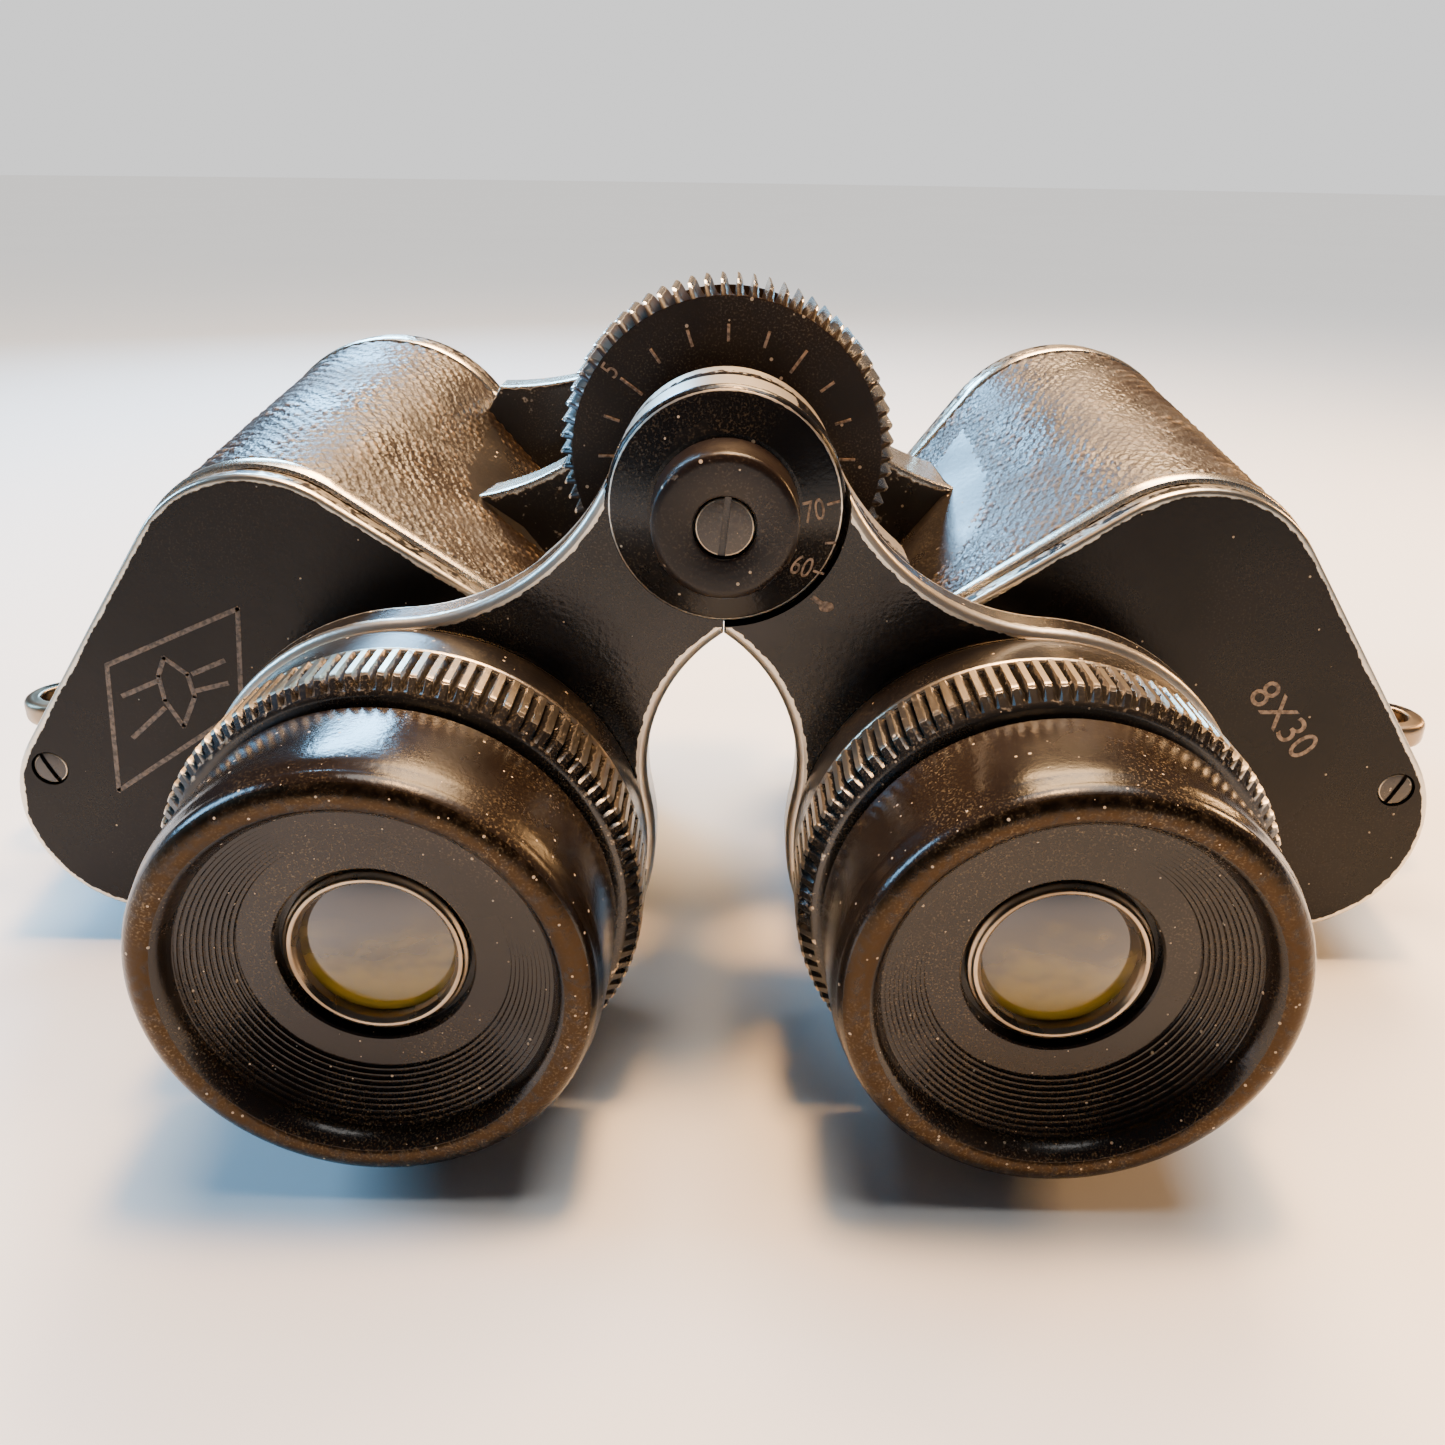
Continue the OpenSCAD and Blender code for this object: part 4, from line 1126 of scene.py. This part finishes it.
def onCone(piece):
    # laid on the scale cone: each point goes back or forward with its distance from the hinge
    low, high = 5.9, arm["bossRadius"] - 0.35
    slope = (arm["front"] - 0.12 - arm["scaleTop"]) / (high - low)
    for vertex in piece.data.vertices:
        out = math.hypot(vertex.co.x, vertex.co.z)
        vertex.co.y += arm["scaleTop"] + slope * (max(out, low) - low)
    return piece


def makeMarks():
    face = wheel["front"]
    parts = []
    for i in range(20):
        turn = math.radians(54 + 18 * i)
        inner, outer = (9.3, 11.5) if i % 5 == 0 else (10.1, 11.4)
        parts.append(stroke("tick", (inner * math.cos(turn), inner * math.sin(turn)),
                            (outer * math.cos(turn), outer * math.sin(turn)), 0.26, face))
    for turn in (144, -36):
        at = math.radians(turn)
        parts.append(numeral("5", (12.65 * math.cos(at), 12.65 * math.sin(at)), 1.7,
                             turn - 90 if turn > 0 else turn + 270, face, 0.8))
    finishPiece(joined(parts, "wheelMarks"), "wheelMarks", "focus_wheel", tanMarks, (), 1, 30)
    scale = [numeral("70", (6.72, 0.05), 1.75, 10, 0, 0.72),
             stroke("tick", (7.75, 0.55), (8.65, 0.72), 0.2, 0),
             stroke("tick", (7.75, -2.5), (8.5, -2.52), 0.2, 0),
             numeral("60", (5.95, -4.35), 1.75, -22, 0, 0.72),
             stroke("tick", (6.95, -4.75), (7.7, -5.05), 0.2, 0)]
    finishPiece(onCone(joined(scale, "spacingScale")), "spacingScale", "left_bridge",
                tanMarks, (), 1, 30)
    index = [stroke("index", (7.0, -7.0), (7.7, -7.55), 0.42, arm["front"])]
    clearSelection()
    bpy.ops.mesh.primitive_uv_sphere_add(segments=24, ring_count=12, radius=0.55,
                                         location=(8.05, arm["front"], -7.75))
    blob = bpy.context.object
    blob.scale = (1.1, 0.08, 0.8)
    bpy.ops.object.transform_apply(location=False, scale=True)
    bpy.ops.object.transform_apply(location=True)
    index.append(blob)
    finishPiece(joined(index, "spacingIndex"), "spacingIndex", "right_bridge", tanMarks,
                (), 1, 40)
    rating = numeral("8X30", (51.3, -21.9), 2.9, -49, -2.2, 1.0)
    finishPiece(rating, "powerRating", "right_half", tanMarks, (), 1, 30)


def makeEmblem():
    # a plain optics emblem: a lens with two rays on each side, inside a lozenge
    y = -2.2
    lozenge = [(-57.2, -31.0), (-55.9, -18.2), (-43.2, -12.6), (-44.3, -22.4)]
    lines = [(lozenge[i], lozenge[(i + 1) % 4]) for i in range(4)]
    lines += [((-55.0, -21.2), (-51.6, -19.7)), ((-54.8, -25.4), (-51.4, -22.4)),
              ((-48.2, -18.9), (-45.2, -17.6)),
              ((-48.2, -20.6), (-45.2, -19.8))]
    bow = [(-50.6, -17.4), (-51.4, -19.2), (-51.2, -21.6), (-49.9, -24.2)]
    back = [(-50.6, -17.4), (-48.7, -19.0), (-48.4, -21.2), (-49.9, -24.2)]
    lines += list(zip(bow, bow[1:])) + list(zip(back, back[1:]))
    parts = [stroke("line", a, b, 0.45, y) for a, b in lines]
    emblem = parts.pop()
    for part in parts:
        carve(emblem, [part], "UNION")
    parts = [emblem]
    finishPiece(joined(parts, "opticsEmblem"), "opticsEmblem", "left_half", dimMarks, (), 1,
                30)


makeMarks()
makeEmblem()
print("marks made")

keptFinishes = {
    "prism_shelf": bareAluminium, "rear_prism": prismGlass, "front_prism": prismGlass,
    "prism_clips": springBrass,
    "shelf_screws": darkScrews, "ocular_tube": blackAnodised, "field_lens": prismGlass,
    "objective_cell": blackAnodised,
}
for _, sideName in sideNames:
    for node, finish in keptFinishes.items():
        kept = frame["nodes"][sideName + "_" + node]
        kept.data.materials.clear()
        kept.data.materials.append(finish)
axle = frame["nodes"]["hinge_axle"]
axle.data.materials.clear()
axle.data.materials.append(steelShaft)


def makeFloor():
    clearSelection()
    bpy.ops.mesh.primitive_circle_add(vertices=128, radius=6, fill_type="NGON", location=(0, 0, -0.0002))
    floor = bpy.context.object
    floor.name = "paleFloor"
    finish, tree, shader = newFinish("palePaper")
    tree.links.new(blended(tree, noisePattern(tree, 6.0), (0.86, 0.86, 0.86, 1), (0.9, 0.9, 0.9, 1)),
                   shader.inputs["Base Color"])
    shader.inputs["Roughness"].default_value = 0.9
    shader.inputs["Specular IOR Level"].default_value = 0.1
    floor.data.materials.append(finish)


studio = {
    # name: place, size, power, colour
    "warmTop": ((0.06, 0.2, 0.36), (0.18, 0.14), 3.4, (1.0, 0.62, 0.3)),
    "amberLamp": ((0.02, -0.02, 0.3), (0.05, 0.04), 1.8, (1.0, 0.52, 0.18)),
    "coolWindow": ((-0.36, 0.0, 0.2), (0.08, 0.18), 1.7, (0.28, 0.62, 1.0)),
    "coolBack": ((-0.16, 0.34, 0.24), (0.12, 0.08), 2.2, (0.3, 0.64, 1.0)),
    "amberSide": ((0.3, 0.12, 0.14), (0.06, 0.08), 0.9, (1.0, 0.55, 0.22)),
}


overhead = {"power": 3.6, "spread": 40, "colour": (1.0, 0.97, 0.93), "tilt": (-12, 6)}
room = {"lit": (0.42, 0.46, 0.55, 1), "litStrength": 0.12, "seen": (0.95, 0.95, 0.95, 1), "seenStrength": 1.2}


def makeLights():
    world = bpy.data.worlds.new("paleRoom")
    bpy.context.scene.world = world
    world.use_nodes = True
    tree = world.node_tree
    ground = tree.nodes["Background"]
    ground.inputs["Color"].default_value = room["lit"]
    ground.inputs["Strength"].default_value = room["litStrength"]
    seen = tree.nodes.new("ShaderNodeBackground")
    seen.inputs["Color"].default_value = room["seen"]
    seen.inputs["Strength"].default_value = room["seenStrength"]
    path = tree.nodes.new("ShaderNodeLightPath")
    mixed = tree.nodes.new("ShaderNodeMixShader")
    tree.links.new(path.outputs["Is Camera Ray"], mixed.inputs[0])
    tree.links.new(ground.outputs[0], mixed.inputs[1])
    tree.links.new(seen.outputs[0], mixed.inputs[2])
    tree.links.new(mixed.outputs[0], tree.nodes["World Output"].inputs["Surface"])
    # an even light from overhead that keeps the floor pale out to its edge
    data = bpy.data.lights.new("overhead", "SUN")
    data.energy, data.color = overhead["power"], overhead["colour"]
    data.angle = math.radians(overhead["spread"])
    lamp = bpy.data.objects.new("overhead", data)
    lamp.rotation_euler = [math.radians(angle) for angle in overhead["tilt"]] + [0]
    bpy.context.scene.collection.objects.link(lamp)
    aim = Vector((0, 0, 0.03))
    for name, (place, size, power, colour) in studio.items():
        data = bpy.data.lights.new(name, "AREA")
        data.shape, data.size, data.size_y = "RECTANGLE", *size
        data.energy, data.color = power, colour
        lamp = bpy.data.objects.new(name, data)
        lamp.location = place
        lamp.rotation_euler = (aim - Vector(place)).to_track_quat("-Z", "Y").to_euler()
        bpy.context.scene.collection.objects.link(lamp)


view = {"place": (0.00036, -0.125075, 0.07172), "yawPitchRoll": (-0.21, 24.26, 0.82), "lens": 30.79,
        "sensor": 36.0, "near": 0.01}


def makeCamera():
    data = bpy.data.cameras.new("studioCamera")
    data.lens, data.sensor_width, data.clip_start = view["lens"], view["sensor"], view["near"]
    camera = bpy.data.objects.new("studioCamera", data)
    bpy.context.scene.collection.objects.link(camera)
    yaw, pitch, roll = (math.radians(angle) for angle in view["yawPitchRoll"])
    heading, tilt = Matrix.Rotation(-yaw, 4, "Z"), Matrix.Rotation(math.pi / 2 - pitch, 4, "X")
    camera.matrix_world = Matrix.Translation(view["place"]) @ heading @ tilt @ Matrix.Rotation(roll, 4, "Z")
    bpy.context.scene.camera = camera


makeFloor()
makeLights()
makeCamera()
print("stage made")
